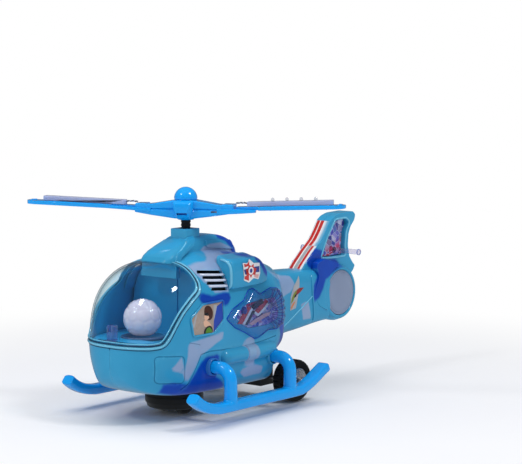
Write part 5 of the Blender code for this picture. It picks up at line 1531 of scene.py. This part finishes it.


# striped print on the fin's sloped front, with a painted highlight at its port edge
def fin_print():
    g = Graph("fin_stripes_and_painted_highlight")
    x, y, z = g.xyz()
    u = g.math('ADD', x, g.math('MULTIPLY', g.math('SINE', g.math('MULTIPLY', z, 60.0)), 0.0004))
    red, white = srgb(186, 26, 24), srgb(236, 232, 232)
    # upper ramp: from 0.74 on, the pale grey-blue fading into teal is a painted highlight where the front rounds onto
    # the port side; the rest is print
    col = g.ramp(g.range(u, -0.0080, 0.0080), [
        (0.0, white), (0.09, white), (0.10, red), (0.30, srgb(204, 40, 34)), (0.31, white), (0.37, srgb(238, 214, 212)), (0.38, red),
        (0.60, srgb(198, 32, 30)), (0.61, white), (0.74, srgb(206, 214, 224)), (0.84, srgb(120, 176, 206)), (1.0, srgb(70, 158, 200))])
    low = g.ramp(g.range(u, -0.0080, 0.0080), [
        (0.0, white), (0.08, white), (0.09, red), (0.30, red), (0.31, white), (0.38, white), (0.39, srgb(166, 172, 178)), (0.60, srgb(150, 156, 164)),
        (0.61, white), (0.66, red), (0.82, srgb(204, 44, 40)), (0.83, white), (1.0, srgb(200, 214, 226))])
    col = g.mix(g.range(z, 0.1275, 0.1265, 0.0, 1.0), col, low)
    n = g.noise(140.0, 2.0)
    return g.done(g.principled(Base_Color=col, Roughness=g.range(n, 0.3, 0.7, 0.26, 0.36), Normal=g.bump(g.noise(2200.0), 0.03, 0.00003),
                               Coat_Weight=0.4, Coat_Roughness=0.06))


front = smooth_path([(0, 151, 105.4), (0, 156.5, 110.9), (0, 170, 122), (0, 183.5, 131.9), (0, 190.5, 140.1), (0, 196.6, 148.8)], 1.6)
bm = bmesh.new()
rows_v = []
edge = resample(rounded(FIN, 1.6, 3), 0.4)
snapped = []
for p in front:
    q = min(edge, key=lambda e: (e[0] - p.y) ** 2 + (e[1] - p.z) ** 2)
    snapped.append(Vector((0, q[0], q[1])))
front = snapped
for i, p in enumerate(front):
    tdir = (front[min(i + 1, len(front) - 1)] - front[max(i - 1, 0)]).normalized()
    nrm = Vector((0, -tdir.z, tdir.y))
    w = 7.5
    rows_v.append([bm.verts.new(p + nrm * 0.22 + Vector((x, 0, 0))) for x in [w * (k / 6 - 1) for k in range(13)]])
for a, b in zip(rows_v, rows_v[1:]):
    for k in range(12):
        bm.faces.new((a[k], a[k + 1], b[k + 1], b[k]))
add("fin_front_print", bm, fin_print(), sharp=None)

# ------------------------------------------------------------------- skids
SKID_X, SKID_Z, STRUT_R = 70.3, 15.2, 5.9
SKID_PATH = [(-73.5, 28.2), (-68.5, 24.3), (-62.5, 20.8), (-55, 17.9), (-46, 16.0), (-34, SKID_Z), (20, SKID_Z), (60, SKID_Z),
             (71, 16.2), (81, 19.6), (90, 23.8), (97, 27.4), (104.5, 31.0)]
for side, t in ((1, "left"), (-1, "right")):
    path = smooth_path([(side * SKID_X, y, z) for y, z in SKID_PATH], 2.0)
    o = to_object("skid_" + t, sweep(path, 4.6, 20, (1.3, 1.0), power=3.6))
    cut(o, block((40, 30, 10), (side * SKID_X, 104, 39.2)))
    cut(o, block((40, 10, 30), (side * SKID_X, 111.2, 30)))
    for k, sy in enumerate((-25.2, 54.6)):
        z = 45.7 if k == 0 else 44.6
        R = 11.0
        arc = [(SKID_X - R + R * math.sin(math.radians(a)), z - R + R * math.cos(math.radians(a))) for a in range(0, 91, 9)]
        pts = [(48.8, z), (54, z)] + arc + [(SKID_X, 28), (SKID_X, 22), (SKID_X, 16)]
        rr = [STRUT_R - 0.35] * (len(pts) - 3) + [STRUT_R - 0.35, STRUT_R - 0.2, STRUT_R]
        cut(o, sweep([(side * x, sy, zz) for x, zz in pts], rr, 28, up=(0, 1, 0)), 'UNION')
    r = o.modifiers.new("skin", 'REMESH')
    r.mode = 'VOXEL'
    r.voxel_size = 0.75 * MM
    r.use_smooth_shade = True
    sm = o.modifiers.new("soft", 'SMOOTH')
    sm.factor = 0.5
    sm.iterations = 3
    apply_all(o)
    finish(o, AZURE, rep=("skid_" + t,), sharp=None)

# ------------------------------------------------------------------ wheels
REAR = (87.0, 18.5)
for side, t in ((1, "left"), (-1, "right")):
    x0 = side * 47.6
    seg = 144

    def lug(a, r, h):
        if r < 17.2:
            return r
        k = (a / (2 * math.pi) * 24 + (0.5 if h > 0 else 0.0)) % 1.0
        centre_rib = abs(h) < 1.2
        return r if (k < 0.62 or centre_rib) else r - (0.9 if abs(h) < 7.0 else 0.6)
    prof = [(11.5, 8.2), (12.6, 8.7), (14.0, 9.0), (15.4, 8.95), (16.6, 8.4), (17.6, 7.3), (18.25, 6.0), (18.5, 4.6), (18.5, 1.6), (18.5, 1.1), (18.5, -1.1), (18.5, -1.6),
            (18.5, -4.6), (18.25, -6.0), (17.6, -7.3), (16.6, -8.4), (15.4, -8.95), (14.0, -9.0), (12.6, -8.7), (11.5, -8.2)]
    bm = turned(prof, 'x', (x0, *REAR), seg, wave=lug)
    add("rear_tyre_tread_" + t, bm, RUBBER, "rear_wheels", ("rear_tyre_" + t,), sharp=28)

    def spokes(a, r, h):
        return r
    prof = [(1.9, 6.6), (3.6, 7.3), (4.4, 7.0), (5.2, 6.0), (8.4, 5.4), (9.4, 6.6), (10.2, 7.7), (11.0, 7.6), (11.35, 6.9), (11.35, -7.6), (4.0, -7.6), (4.0, -8.3), (1.9, -8.3)]
    bm = turned(prof, 'x', (x0, *REAR), 80)
    for v in bm.verts:
        dy, dz = v.co.y - REAR[0], v.co.z - REAR[1]
        r = math.hypot(dy, dz)
        if 4.8 < r < 9.0 and v.co.x - x0 > 3:
            a = math.atan2(dz, dy)
            v.co.x += 1.1 * max(0.0, math.cos(a * 5)) ** 2
    if side < 0:
        bmesh.ops.transform(bm, matrix=Matrix.Translation((x0, 0, 0)) @ Matrix.Scale(-1, 4, (1, 0, 0)) @ Matrix.Translation((-x0, 0, 0)), verts=bm.verts)
        bmesh.ops.reverse_faces(bm, faces=bm.faces)
    add("rear_hub_cap_" + t, bm, SILVER, "rear_wheels", ("rear_hub_" + t,), sharp=40)

# bump-and-go turntable with its two little wheels
prof = [(0, 34), (9.7, 34), (9.7, 26), (23.6, 26), (24.4, 25.7), (24.9, 25.0), (25.0, 24.0), (25.0, 17.2), (24.6, 16.8), (24.6, 16.0), (25.0, 15.6), (25.0, 11.0),
        (24.6, 10.0), (23.9, 9.3), (23.2, 6.8), (22.4, 5.9), (21.4, 5.6), (0, 5.6)]
tt = to_object("drive_unit_drum", turned(prof, 'z', (0, TURN_Y, 0), 120))
for sx in (-1, 1):
    cut(tt, block((9.6, 24.4, 26), (sx * 11.0, TURN_Y, 11.2)))
for a in (35, 145, 215, 325):
    cut(tt, turned([(0, 1.2), (2.0, 1.2), (2.0, -1.2), (0, -1.2)], 'z', (19.5 * math.cos(math.radians(a)), TURN_Y + 19.5 * math.sin(math.radians(a)), 5.6), 24))
cut(tt, turned([(0, 21), (1.9, 21), (1.9, -21), (0, -21)], 'x', (0, TURN_Y, 11.0), 24))
finish(tt, BLACK, "turntable", ("drive_turntable",), sharp=35)
for sx, t in ((1, "left"), (-1, "right")):
    prof = [(1.8, 3.4), (3.4, 4.0), (8.2, 4.0), (9.4, 3.8), (10.3, 3.3), (10.85, 2.5), (11.0, 1.6), (11.0, -1.6), (10.85, -2.5), (10.3, -3.3), (9.4, -3.8), (8.2, -4.0), (3.4, -4.0), (1.8, -3.4)]
    bm = turned(prof, 'x', (sx * 11.0, TURN_Y, 11.0), 96, wave=lambda a, r, h: r - (0.28 if (r > 10.5 and int(a / (2 * math.pi) * 48) % 2) else 0.0))
    add("drive_wheel_tread_" + t, bm, RUBBER, "drive_wheels", ("drive_wheel_" + t,), sharp=28)

# ------------------------------------------------------------------- rotor
RA, CONE, ROTOR_Z = math.radians(27.0), math.radians(2.0), 172.5


def rotor_xyz(s, t, z, side=1):
    """Blade coordinates (outward, across, up) to the mast frame."""
    zz = ROTOR_Z + z * math.cos(CONE) + max(s, 0) * math.sin(CONE)
    ss = side * s * math.cos(CONE)
    return Vector((ss * math.cos(RA) - t * math.sin(RA), ss * math.sin(RA) + t * math.cos(RA), zz))


def to_blade(bm, side):
    for v in bm.verts:
        v.co = rotor_xyz(v.co.x, v.co.y, v.co.z, side)
    return bm


def hub_arm(stations, side, across=False, ch=0.16, bm=None):
    rings = []
    a = RA + (math.pi / 2 if across else 0.0)
    for s, t0, t1, z0, z1 in stations:
        c = ch * min(t1 - t0, z1 - z0)
        ring = []
        for t, z in ((t0, z0 + c), (t0, z1 - c), (t0 + c, z1), (t1 - c, z1), (t1, z1 - c), (t1, z0 + c), (t1 - c, z0), (t0 + c, z0)):
            ss = side * s
            ring.append(Vector((ss * math.cos(a) - t * math.sin(a), ss * math.sin(a) + t * math.cos(a), z)))
        rings.append(ring)
    return loft(rings, bm=bm)


bm = turned([(2.4, 181.2), (8.8, 181.2), (9.7, 180.9), (10.3, 180.0), (10.4, 178.8), (10.4, 172), (9.6, 169.2), (8.5, 166.6), (7.4, 164.8), (6.6, 164.1), (2.4, 164.0)],
            'z', (0, 0, 0), 72)
add("rotor_hub_core", bm, AZURE, "rotor", ("rotor_hub",), sharp=42)
for side, t in ((1, "left"), (-1, "right")):
    bm = hub_arm([(1, -8.2, 8.2, 173.2, 181.0), (9, -8.1, 8.1, 173.3, 180.9), (15, -7.9, 7.9, 173.4, 179.9), (28, -7.4, 7.4, 173.2, 177.7), (33.0, -7.2, 7.2, 173.1, 177.2),
                  (33.6, -7.6, 7.6, 173.0, 178.0), (42.2, -7.3, 7.3, 173.0, 177.9), (42.9, -6.9, 6.9, 173.4, 177.3)], side)
    add("rotor_arm_upper_" + t, bm, AZURE, "rotor", ("rotor_hub",), sharp=25)
    bm = hub_arm([(1, -8.5, 8.5, 165.0, 172.7), (9, -8.5, 8.5, 165.5, 172.8), (14, -8.4, 8.4, 166.2, 172.9), (28, -8.1, 8.1, 168.0, 172.9), (42.6, -7.6, 7.6, 170.3, 172.9), (43.0, -7.3, 7.3, 170.7, 172.6)], side)
    o = to_object("rotor_arm_lower_" + t, bm)
    if side > 0:
        # small slot through the arm's flank
        cut(o, to_blade(soften(block((5.4, 30, 1.7), (26.5, 0, -1.8)), 0.5), side))
    finish(o, AZURE, "rotor", ("rotor_hub",), sharp=25)
    bm = hub_arm([(1, -6.8, 6.8, 172.0, 174.2), (42, -6.2, 6.2, 172.0, 174.2)], side, ch=0.0)
    add("rotor_arm_seam_" + t, bm, AZURE, "rotor", ("rotor_hub",), sharp=25)
    if side > 0:
        prong = [(29, -8.6, -3.6, 169.2, 174.2), (46, -8.5, -3.8, 170.2, 174.0), (62.2, -8.2, -4.1, 171.4, 173.5)]
    else:
        prong = [(29, -8.4, -3.6, 170.6, 174.0), (46, -8.6, -3.6, 172.0, 174.7), (66, -9.0, -3.9, 173.2, 175.6)]
    bm = soften(hub_arm(prong, side, ch=0.1), 0.35, 2)
    add("rotor_prong_" + t, bm, AZURE, "rotor", ("rotor_hub",), sharp=30)
    # block across the hub, a keel face tapering down to a slot
    ax = RA + math.pi / 2
    rings = []
    for s, wt, zt, wb, zb, zk in ((1, 8.8, 181.0, 5.6, 165.2, 174.0), (10.6, 8.8, 181.0, 5.6, 165.6, 174.5), (12.6, 8.2, 180.2, 5.0, 167.4, 174.6), (15.4, 6.4, 178.4, 4.2, 169.4, 174.0)):
        ring = []
        for q, z in ((-wb, zb), (-wt, zk), (-wt, zt - 1.0), (-wt + 1.0, zt), (wt - 1.0, zt), (wt, zt - 1.0), (wt, zk), (wb, zb)):
            ss = side * s
            ring.append(Vector((ss * math.cos(ax) - q * math.sin(ax), ss * math.sin(ax) + q * math.cos(ax), z)))
        rings.append(ring)
    o = to_object("rotor_block_" + t, soften(loft(rings), 0.55, 3, 22))
    tool = soften(block((9.0, 7.0, 1.7), (0, 0, 0)), 0.4)
    bmesh.ops.transform(tool, matrix=Matrix.Translation((side * 14.0 * math.cos(ax), side * 14.0 * math.sin(ax), 169.9)) @ Matrix.Rotation(RA, 4, 'Z'), verts=tool.verts)
    cut(o, tool)
    finish(o, AZURE, "rotor", ("rotor_hub",), sharp=28)
prof = [(0.0, 192.1)] + [(10.0 * math.sin(math.radians(a)), 182.1 + 10.0 * math.cos(math.radians(a))) for a in range(5, 90, 5)] + \
       [(9.95, 182.0), (9.6, 181.7), (9.5, 181.3), (9.8, 181.1), (0, 181.1)]
add("rotor_cap_dome", turned(prof, 'z', (0, 0, 0), 96), AZURE, "rotor", ("hub_cap",), sharp=40)
add("rotor_mast", turned([(0, 181), (1.98, 181), (1.98, 98.6), (1.5, 98.1), (0, 98.1)], 'z', (0, 0, 0), 40), STEEL, "rotor", ("rotor_shaft",), sharp=40)
prof = [(2.3, 163.7), (3.9, 163.7), (4.2, 163.4), (4.2, 161.9), (3.8, 161.5), (3.8, 160.7), (4.2, 160.3), (4.2, 158.7), (3.8, 158.3), (3.8, 157.5), (4.2, 157.1), (4.2, 144.3), (3.9, 144.0), (2.3, 144.0)]
add("rotor_mast_sleeve", turned(prof, 'z', (0, 0, 0), 56), BLACK, "rotor", ("shaft_sleeve",), sharp=40)


def led_board_look():
    g = Graph("blade_board")
    x, y, z = g.xyz()
    n = g.noise(240.0, 2.0)
    tr = g.wave(640.0, 'DIAGONAL', distortion=1.0, profile='TRI')
    col = g.mix(g.range(n, 0.3, 0.7), srgb(24, 96, 52), srgb(34, 116, 64))
    col = g.mix(g.range(tr, 0.74, 0.8, 0.0, 0.6), col, srgb(90, 160, 104))
    return g.done(g.principled(Base_Color=col, Roughness=0.35, Normal=g.bump(tr, 0.15, 0.00008)))


LED_BOARD = led_board_look()
BLADE_OUT = [(43.8, -3.0), (63.2, -3.0), (65.0, -9.2), (131, -9.2), (136, -7), (138, -2), (138, 3), (135, 7), (129, 8.6), (43.8, 8.6)]
for side, t in ((1, "left"), (-1, "right")):
    tip = 3.2 if side < 0 else 0.0
    out_b = [(a + tip * max(0.0, (a - 110) / 28.0), b) for a, b in BLADE_OUT]
    o = to_object("rotor_blade_" + t, to_blade(prism(rounded(out_b, 1.4, 4), -1.5, 1.5, 'z'), side))
    cut(o, to_blade(prism(rounded([(66, -4.6), (122, -4.6), (122, -2.2), (66, -2.2)], 1.0, 3), -9, 9, 'z'), side))
    # ribs under the blade and stiffening rail along its leading edge
    b = o.modifiers.new("edge", 'BEVEL')
    b.width = 0.6 * MM
    b.segments = 3
    b.limit_method = 'ANGLE'
    b.angle_limit = math.radians(50)
    apply_all(o)
    finish(o, AZURE, "rotor", ("blade_" + t,), sharp=35, weighted=True)
    rail = to_blade(sweep([(s, -8.3, 1.15) for s in (66, 80, 96, 112, 130)], 0.75, 12), side)
    add("blade_rail_" + t, rail, AZURE, "rotor", ("blade_" + t,), sharp=None)
    rail = to_blade(sweep([(132.6 + tip, -6.4, 1.3), (134.6 + tip, -1.0, 1.4), (134.4 + tip, 3.2, 1.4), (131.8 + tip, 6.4, 1.3)], 0.8, 12), side)
    add("blade_tip_rail_" + t, rail, AZURE, "rotor", ("blade_" + t,), sharp=None)
    bm = bmesh.new()
    for s in (74, 90, 106, 122):
        tmp = block((1.2, 10.6, 0.9), (s, 3.0, -1.75))
        me = bpy.data.meshes.new("t")
        soften(tmp, 0.25, 2)
        to_blade(tmp, side).to_mesh(me)
        tmp.free()
        bm.from_mesh(me)
        bpy.data.meshes.remove(me)
    add("blade_ribs_" + t, bm, AZURE, "rotor", ("blade_" + t,), sharp=30)
    strip_out = rounded([(53.5, -1.6), (127, -1.6), (127, 7.6), (53.5, 7.6)], 1.6, 4)
    s_ob = to_object("blade_strip_" + t, to_blade(prism(strip_out, 1.8, 5.6, 'z'), side))
    cut(s_ob, to_blade(prism(rounded([(54.8, -0.4), (125.8, -0.4), (125.8, 6.4), (54.8, 6.4)], 1.0, 3), 0, 4.5, 'z'), side))
    if side < 0:
        cut(s_ob, to_blade(block((46, 30, 1.8), (90, 3, 1.9)), side))
    for s0 in (75, 87.3, 99.6, 112):
        if side > 0:
            p = rotor_xyz(s0, 3.0, 0, side)
            cut(s_ob, turned([(0, 3), (1.8, 3), (1.8, -3), (0, -3)], 'z', (p.x, p.y, p.z + 5), 28))
    b = s_ob.modifiers.new("edge", 'BEVEL')
    b.width = 0.7 * MM
    b.segments = 4
    b.limit_method = 'ANGLE'
    b.angle_limit = math.radians(50)
    apply_all(s_ob)
    finish(s_ob, STRIP, "rotor", ("blade_light_" + t,), sharp=35, weighted=True)
    board = to_blade(soften(block((67.8, 5.1, 1.0), (90, 3.0, 2.4)), 0.2, 2), side)
    add("blade_board_" + t, board, LED_BOARD, "rotor", ("blade_led_board_" + t,))
    bm = bmesh.new()
    for s0 in (75, 87.3, 99.6, 112):
        p = rotor_xyz(s0, 3.0, 0, side)
        if side > 0:
            prof = [(0, 8.6), (0.45, 8.53), (0.85, 8.3), (1.2, 7.95), (1.42, 7.5), (1.5, 7.0), (1.5, 3.2), (1.72, 3.1), (1.72, 2.5), (0, 2.5)]
            turned(prof, 'z', (p.x, p.y, p.z), 28, bm=bm)
    if side > 0:
        add("blade_leds_" + t, bm, LED, "rotor", ("blade_led_board_" + t,), sharp=40)
        bm = bmesh.new()
        for s0 in (75, 87.3, 99.6, 112):
            p = rotor_xyz(s0, 3.0, 0, side)
            turned([(0, 5.9), (0.75, 5.9), (0.4, 4.6), (0.3, 2.5), (0, 2.5)], 'z', (p.x - 0.25, p.y, p.z), 10, bm=bm)
            turned([(0, 5.2), (0.35, 5.2), (0.3, 2.5), (0, 2.5)], 'z', (p.x + 0.75, p.y, p.z), 8, bm=bm)
        add("blade_led_leads_" + t, bm, SILVER, "rotor", ("blade_led_board_" + t,), sharp=40)
    else:
        bm = bmesh.new()
        for s0 in (75, 87.3, 99.6, 112):
            tmp = block((3.2, 2.4, 1.4), (s0, 3.0, 3.55))
            me = bpy.data.meshes.new("t")
            soften(tmp, 0.25, 2)
            to_blade(tmp, side).to_mesh(me)
            tmp.free()
            bm.from_mesh(me)
            bpy.data.meshes.remove(me)
        add("blade_leds_" + t, bm, NYLON, "rotor", ("blade_led_board_" + t,), sharp=40)
    for k in (0, 1):
        pts = []
        for i in range(41):
            u = i / 40
            ph = u * 6 * math.pi + k * math.pi
            pts.append(rotor_xyz(43.2 + 10.2 * u, 3.0 + 1.0 * math.sin(u * 7.0) + 0.45 * math.cos(ph), 4.3 + 0.5 * math.sin(u * math.pi) + 0.45 * math.sin(ph), side))
        add("blade_wire_strand_%d_%s" % (k + 1, t), sweep(pts, 0.42, 10), plastic("wire_sheath_%d_%s" % (k, t), srgb(188, 194, 206) if k else srgb(70, 74, 84), 0.36, grain=0.1),
            "rotor", ("blade_wire_" + t,), sharp=None)

# ------------------------------------------------- underside: door and screw
door_out = rounded([(-28.8, 11.5), (35.6, 11.5), (35.6, 55.5), (-28.8, 55.5)], 2.5, 4)
door = to_object("battery_hatch", prism(door_out, 22.0, 23.8, 'z'))
cut(door, turned([(0, 5), (2.9, 5), (2.9, -5), (0, -5)], 'z', (32.2, 33.5, 22.9), 40))
for k in range(6):
    cut(door, soften(block((1.3, 24, 1.2), (-24.5 + 2.6 * k, 33.5, 21.95)), 0.3, 2))
b = door.modifiers.new("edge", 'BEVEL')
b.width = 0.35 * MM
b.segments = 2
b.limit_method = 'ANGLE'
b.angle_limit = math.radians(50)
apply_all(door)
finish(door, BODY_PLAIN, rep=("battery_door",), sharp=35, weighted=True)
screw = to_object("hatch_screw", turned([(0, 22.3), (1.6, 22.15), (2.3, 22.35), (2.6, 22.9), (2.6, 23.4), (1.2, 24.6), (1.2, 33.0), (0, 34.2)], 'z', (32.2, 33.5, 0), 40))
for rot in (0, 90):
    cut(screw, block((3.2, 0.55, 1.6), (32.2, 33.5, 22.2), Matrix.Rotation(math.radians(rot + 20), 4, 'Z')))
finish(screw, STEEL, rep=("battery_door_screw",), sharp=35)
knob = soften(block((4.0, 5.0, 6.0), (-34.5, 31.0, 23.2)), 0.5, 3)
o = to_object("switch_thumb", knob)
for k in range(3):
    cut(o, block((6, 0.6, 1.0), (-34.5, 29.7 + 1.3 * k, 20.2)))
cut(o, block((6.6, 8.0, 1.2), (-34.5, 31.0, 26.4)), 'UNION')
finish(o, BLACK, "switch_knob", ("power_switch_knob",), sharp=35)


# ------------------------------------------------------ stage and camera
def make_stage():
    g = Graph("studio_floor")
    n = g.noise(3.0, 2.0)
    x, y, z = g.xyz()
    far = g.math('SQRT', g.math('ADD', g.math('MULTIPLY', x, x), g.math('MULTIPLY', y, y)))
    col = g.mix(g.range(n, 0.3, 0.7), srgb(246, 246, 249), srgb(250, 250, 252))
    p = g.principled(Base_Color=col, Roughness=0.6, Normal=g.bump(g.noise(600.0, 2.0), 0.02, 0.0001))
    e = g.t.nodes.new('ShaderNodeEmission')
    e.inputs['Color'].default_value = (1, 1, 1, 1)
    mx = g.t.nodes.new('ShaderNodeMixShader')
    g.link(g.range(far, 0.22, 0.62, 0.0, 1.0, smooth=True), mx.inputs['Fac'])
    g.link(p, mx.inputs[1])
    g.link(e.outputs[0], mx.inputs[2])
    # the floor looks dimmer in gloss, so that dark colours stay deep
    lp = g.t.nodes.new('ShaderNodeLightPath')
    card = g.t.nodes.new('ShaderNodeEmission')
    card.inputs['Color'].default_value = (0.30, 0.33, 0.36, 1)
    both = g.t.nodes.new('ShaderNodeMixShader')
    g.link(lp.outputs['Is Glossy Ray'], both.inputs['Fac'])
    g.link(mx.outputs[0], both.inputs[1])
    g.link(card.outputs[0], both.inputs[2])
    g.done(both.outputs[0])
    bm = bmesh.new()
    bmesh.ops.create_grid(bm, x_segments=8, y_segments=8, size=5000)
    floor = to_object("floor", bm)
    floor.location.z = -0.0001
    floor.data.materials.append(g.m)
    # plain white to the eye, a dimmer sky for lighting and gloss
    w = bpy.data.worlds.new("studio")
    w.use_nodes = True
    nt = w.node_tree
    dim = nt.nodes["Background"]
    dim.inputs["Color"].default_value = (0.93, 0.96, 1.0, 1)
    dim.inputs["Strength"].default_value = WORLD_DIM
    white = nt.nodes.new('ShaderNodeBackground')
    white.inputs["Color"].default_value = (1, 1, 1, 1)
    path = nt.nodes.new('ShaderNodeLightPath')
    mix = nt.nodes.new('ShaderNodeMixShader')
    gloss = nt.nodes.new('ShaderNodeBackground')
    gloss.inputs["Color"].default_value = (0.9, 0.95, 1.0, 1)
    gloss.inputs["Strength"].default_value = 0.16
    pre = nt.nodes.new('ShaderNodeMixShader')
    nt.links.new(path.outputs['Is Glossy Ray'], pre.inputs['Fac'])
    nt.links.new(dim.outputs[0], pre.inputs[1])
    nt.links.new(gloss.outputs[0], pre.inputs[2])
    nt.links.new(path.outputs['Is Camera Ray'], mix.inputs['Fac'])
    nt.links.new(pre.outputs[0], mix.inputs[1])
    nt.links.new(white.outputs[0], mix.inputs[2])
    nt.links.new(mix.outputs[0], nt.nodes["World Output"].inputs['Surface'])
    scene.world = w

    def area(name, loc, target, size, power, colour=(1, 1, 1)):
        d = bpy.data.lights.new(name, 'AREA')
        d.shape = 'RECTANGLE'
        d.size, d.size_y = size
        d.energy = power
        d.color = colour
        o = bpy.data.objects.new(name, d)
        scene.collection.objects.link(o)
        o.location = loc
        o.rotation_euler = (Vector(target) - Vector(loc)).to_track_quat('-Z', 'Y').to_euler()
        return o
    mid = (0.0, 0.0, 0.08)
    area("right_softbox", (0.92, 0.1, 1.2), mid, (0.26, 0.26), 5.5)
    area("front_softbox", (-0.3, -1.07, 1.1), mid, (0.2, 0.2), 3.0)
    top = area("top_softbox", (-0.15, -0.05, 1.6), mid, (1.7, 1.7), 15.0)
    left = area("left_softbox", (-0.6, -1.3, 0.5), mid, (0.6, 0.8), 2.0)
    top.visible_glossy = left.visible_glossy = False


WORLD_DIM = 0.38
make_stage()
az, el = math.radians(38.6), math.radians(5.6)
right = Vector((math.cos(az), math.sin(az), 0))
fwd = Vector((-math.sin(az) * math.cos(el), math.cos(az) * math.cos(el), -math.sin(el)))
up = right.cross(fwd)
cam_data = bpy.data.cameras.new("camera")
cam_data.sensor_width = 36.0
cam_data.lens = 36.0 * 1800 / 522
cam_data.clip_end = 50.0
cam = bpy.data.objects.new("camera", cam_data)
scene.collection.objects.link(cam)
m = Matrix((right, up, -fwd)).transposed().to_4x4()
m.translation = Vector((1004.67, -1155.70 + YS, 303.3)) * MM
cam.matrix_world = m
scene.camera = cam
scene.view_settings.view_transform = 'Standard'

SLOT_LOOK = {"body_blue": BODY_PLAIN, "azure_plastic": AZURE, "lavender_clear": STRIP, "clear_canopy": CANOPY, "blue_clear_lens": LENS_CLEAR,
             "red_reflector": REFLECT_CRYSTAL, "black_plastic": BLACK, "black_rubber": RUBBER, "silver_hub": SILVER, "steel": STEEL,
             "brass_gear": BRASS, "white_nylon": NYLON, "led_clear": LED, "circuit_board": None, "battery_cell": None,
             "contact_steel": STEEL, "wire_insulation": None, "speaker_cone": None, "light_tube": TUBE, "fin_light": FIN_CRYSTAL}


def board_look():
    g = Graph("circuit_board_green")
    tr = g.wave(520.0, 'X', distortion=1.5, profile='TRI')
    tr2 = g.wave(430.0, 'Y', distortion=1.2, profile='TRI')
    lines = g.math('MULTIPLY', g.range(tr, 0.72, 0.8), g.range(tr2, 0.3, 0.5))
    pads = g.range(g.voronoi(360.0, rand=0.6), 0.22, 0.26, 1.0, 0.0)
    col = g.mix(g.noise(60.0, 2.0), srgb(14, 84, 44), srgb(22, 102, 54))
    col = g.mix(g.math('MULTIPLY', lines, 0.6), col, srgb(58, 140, 84))
    col = g.mix(pads, col, srgb(196, 190, 170))
    return g.done(g.principled(Base_Color=col, Roughness=0.38, Normal=g.bump(pads, 0.3, 0.0001), Coat_Weight=0.3))


def cell_look():
    g = Graph("battery_sleeve")
    x = g.xyz()[0]
    band = g.range(x, 0.0085, 0.009, 0.0, 1.0)
    col = g.mix(band, srgb(34, 35, 38), srgb(176, 120, 44))
    tip = g.range(g.math('ABSOLUTE', x), 0.0234, 0.0237)
    col = g.mix(tip, col, srgb(180, 182, 186))
    n = g.noise(900.0, 2.0)
    return g.done(g.principled(Base_Color=col, Roughness=g.range(n, 0.3, 0.7, 0.24, 0.34), Metallic=0.55,
                               Normal=g.bump(n, 0.05, 0.00004)))


def cone_look():
    g = Graph("speaker_paper")
    n = g.noise(1800.0, 3.0, 0.7)
    col = g.mix(n, srgb(26, 26, 28), srgb(58, 56, 54))
    return g.done(g.principled(Base_Color=col, Roughness=0.82, Normal=g.bump(n, 0.4, 0.0001)))


def wire_look():
    g = Graph("wire_twist")
    w = g.wave(420.0, 'DIAGONAL', profile='SIN')
    col = g.mix(w, srgb(122, 128, 140), srgb(214, 218, 226))
    return g.done(g.principled(Base_Color=col, Roughness=0.38, Normal=g.bump(w, 0.6, 0.0002)))


SLOT_LOOK["circuit_board"], SLOT_LOOK["battery_cell"] = board_look(), cell_look()
SLOT_LOOK["speaker_cone"], SLOT_LOOK["wire_insulation"] = cone_look(), wire_look()
slot_of = {s["node"]: s["material_slot"] for s in frame["record"]["subparts"]}
for node, o in frame["nodes"].items():
    if node == "cockpit_liner":
        continue
    o.data.materials.clear()
    o.data.materials.append(SLOT_LOOK[slot_of[node]])
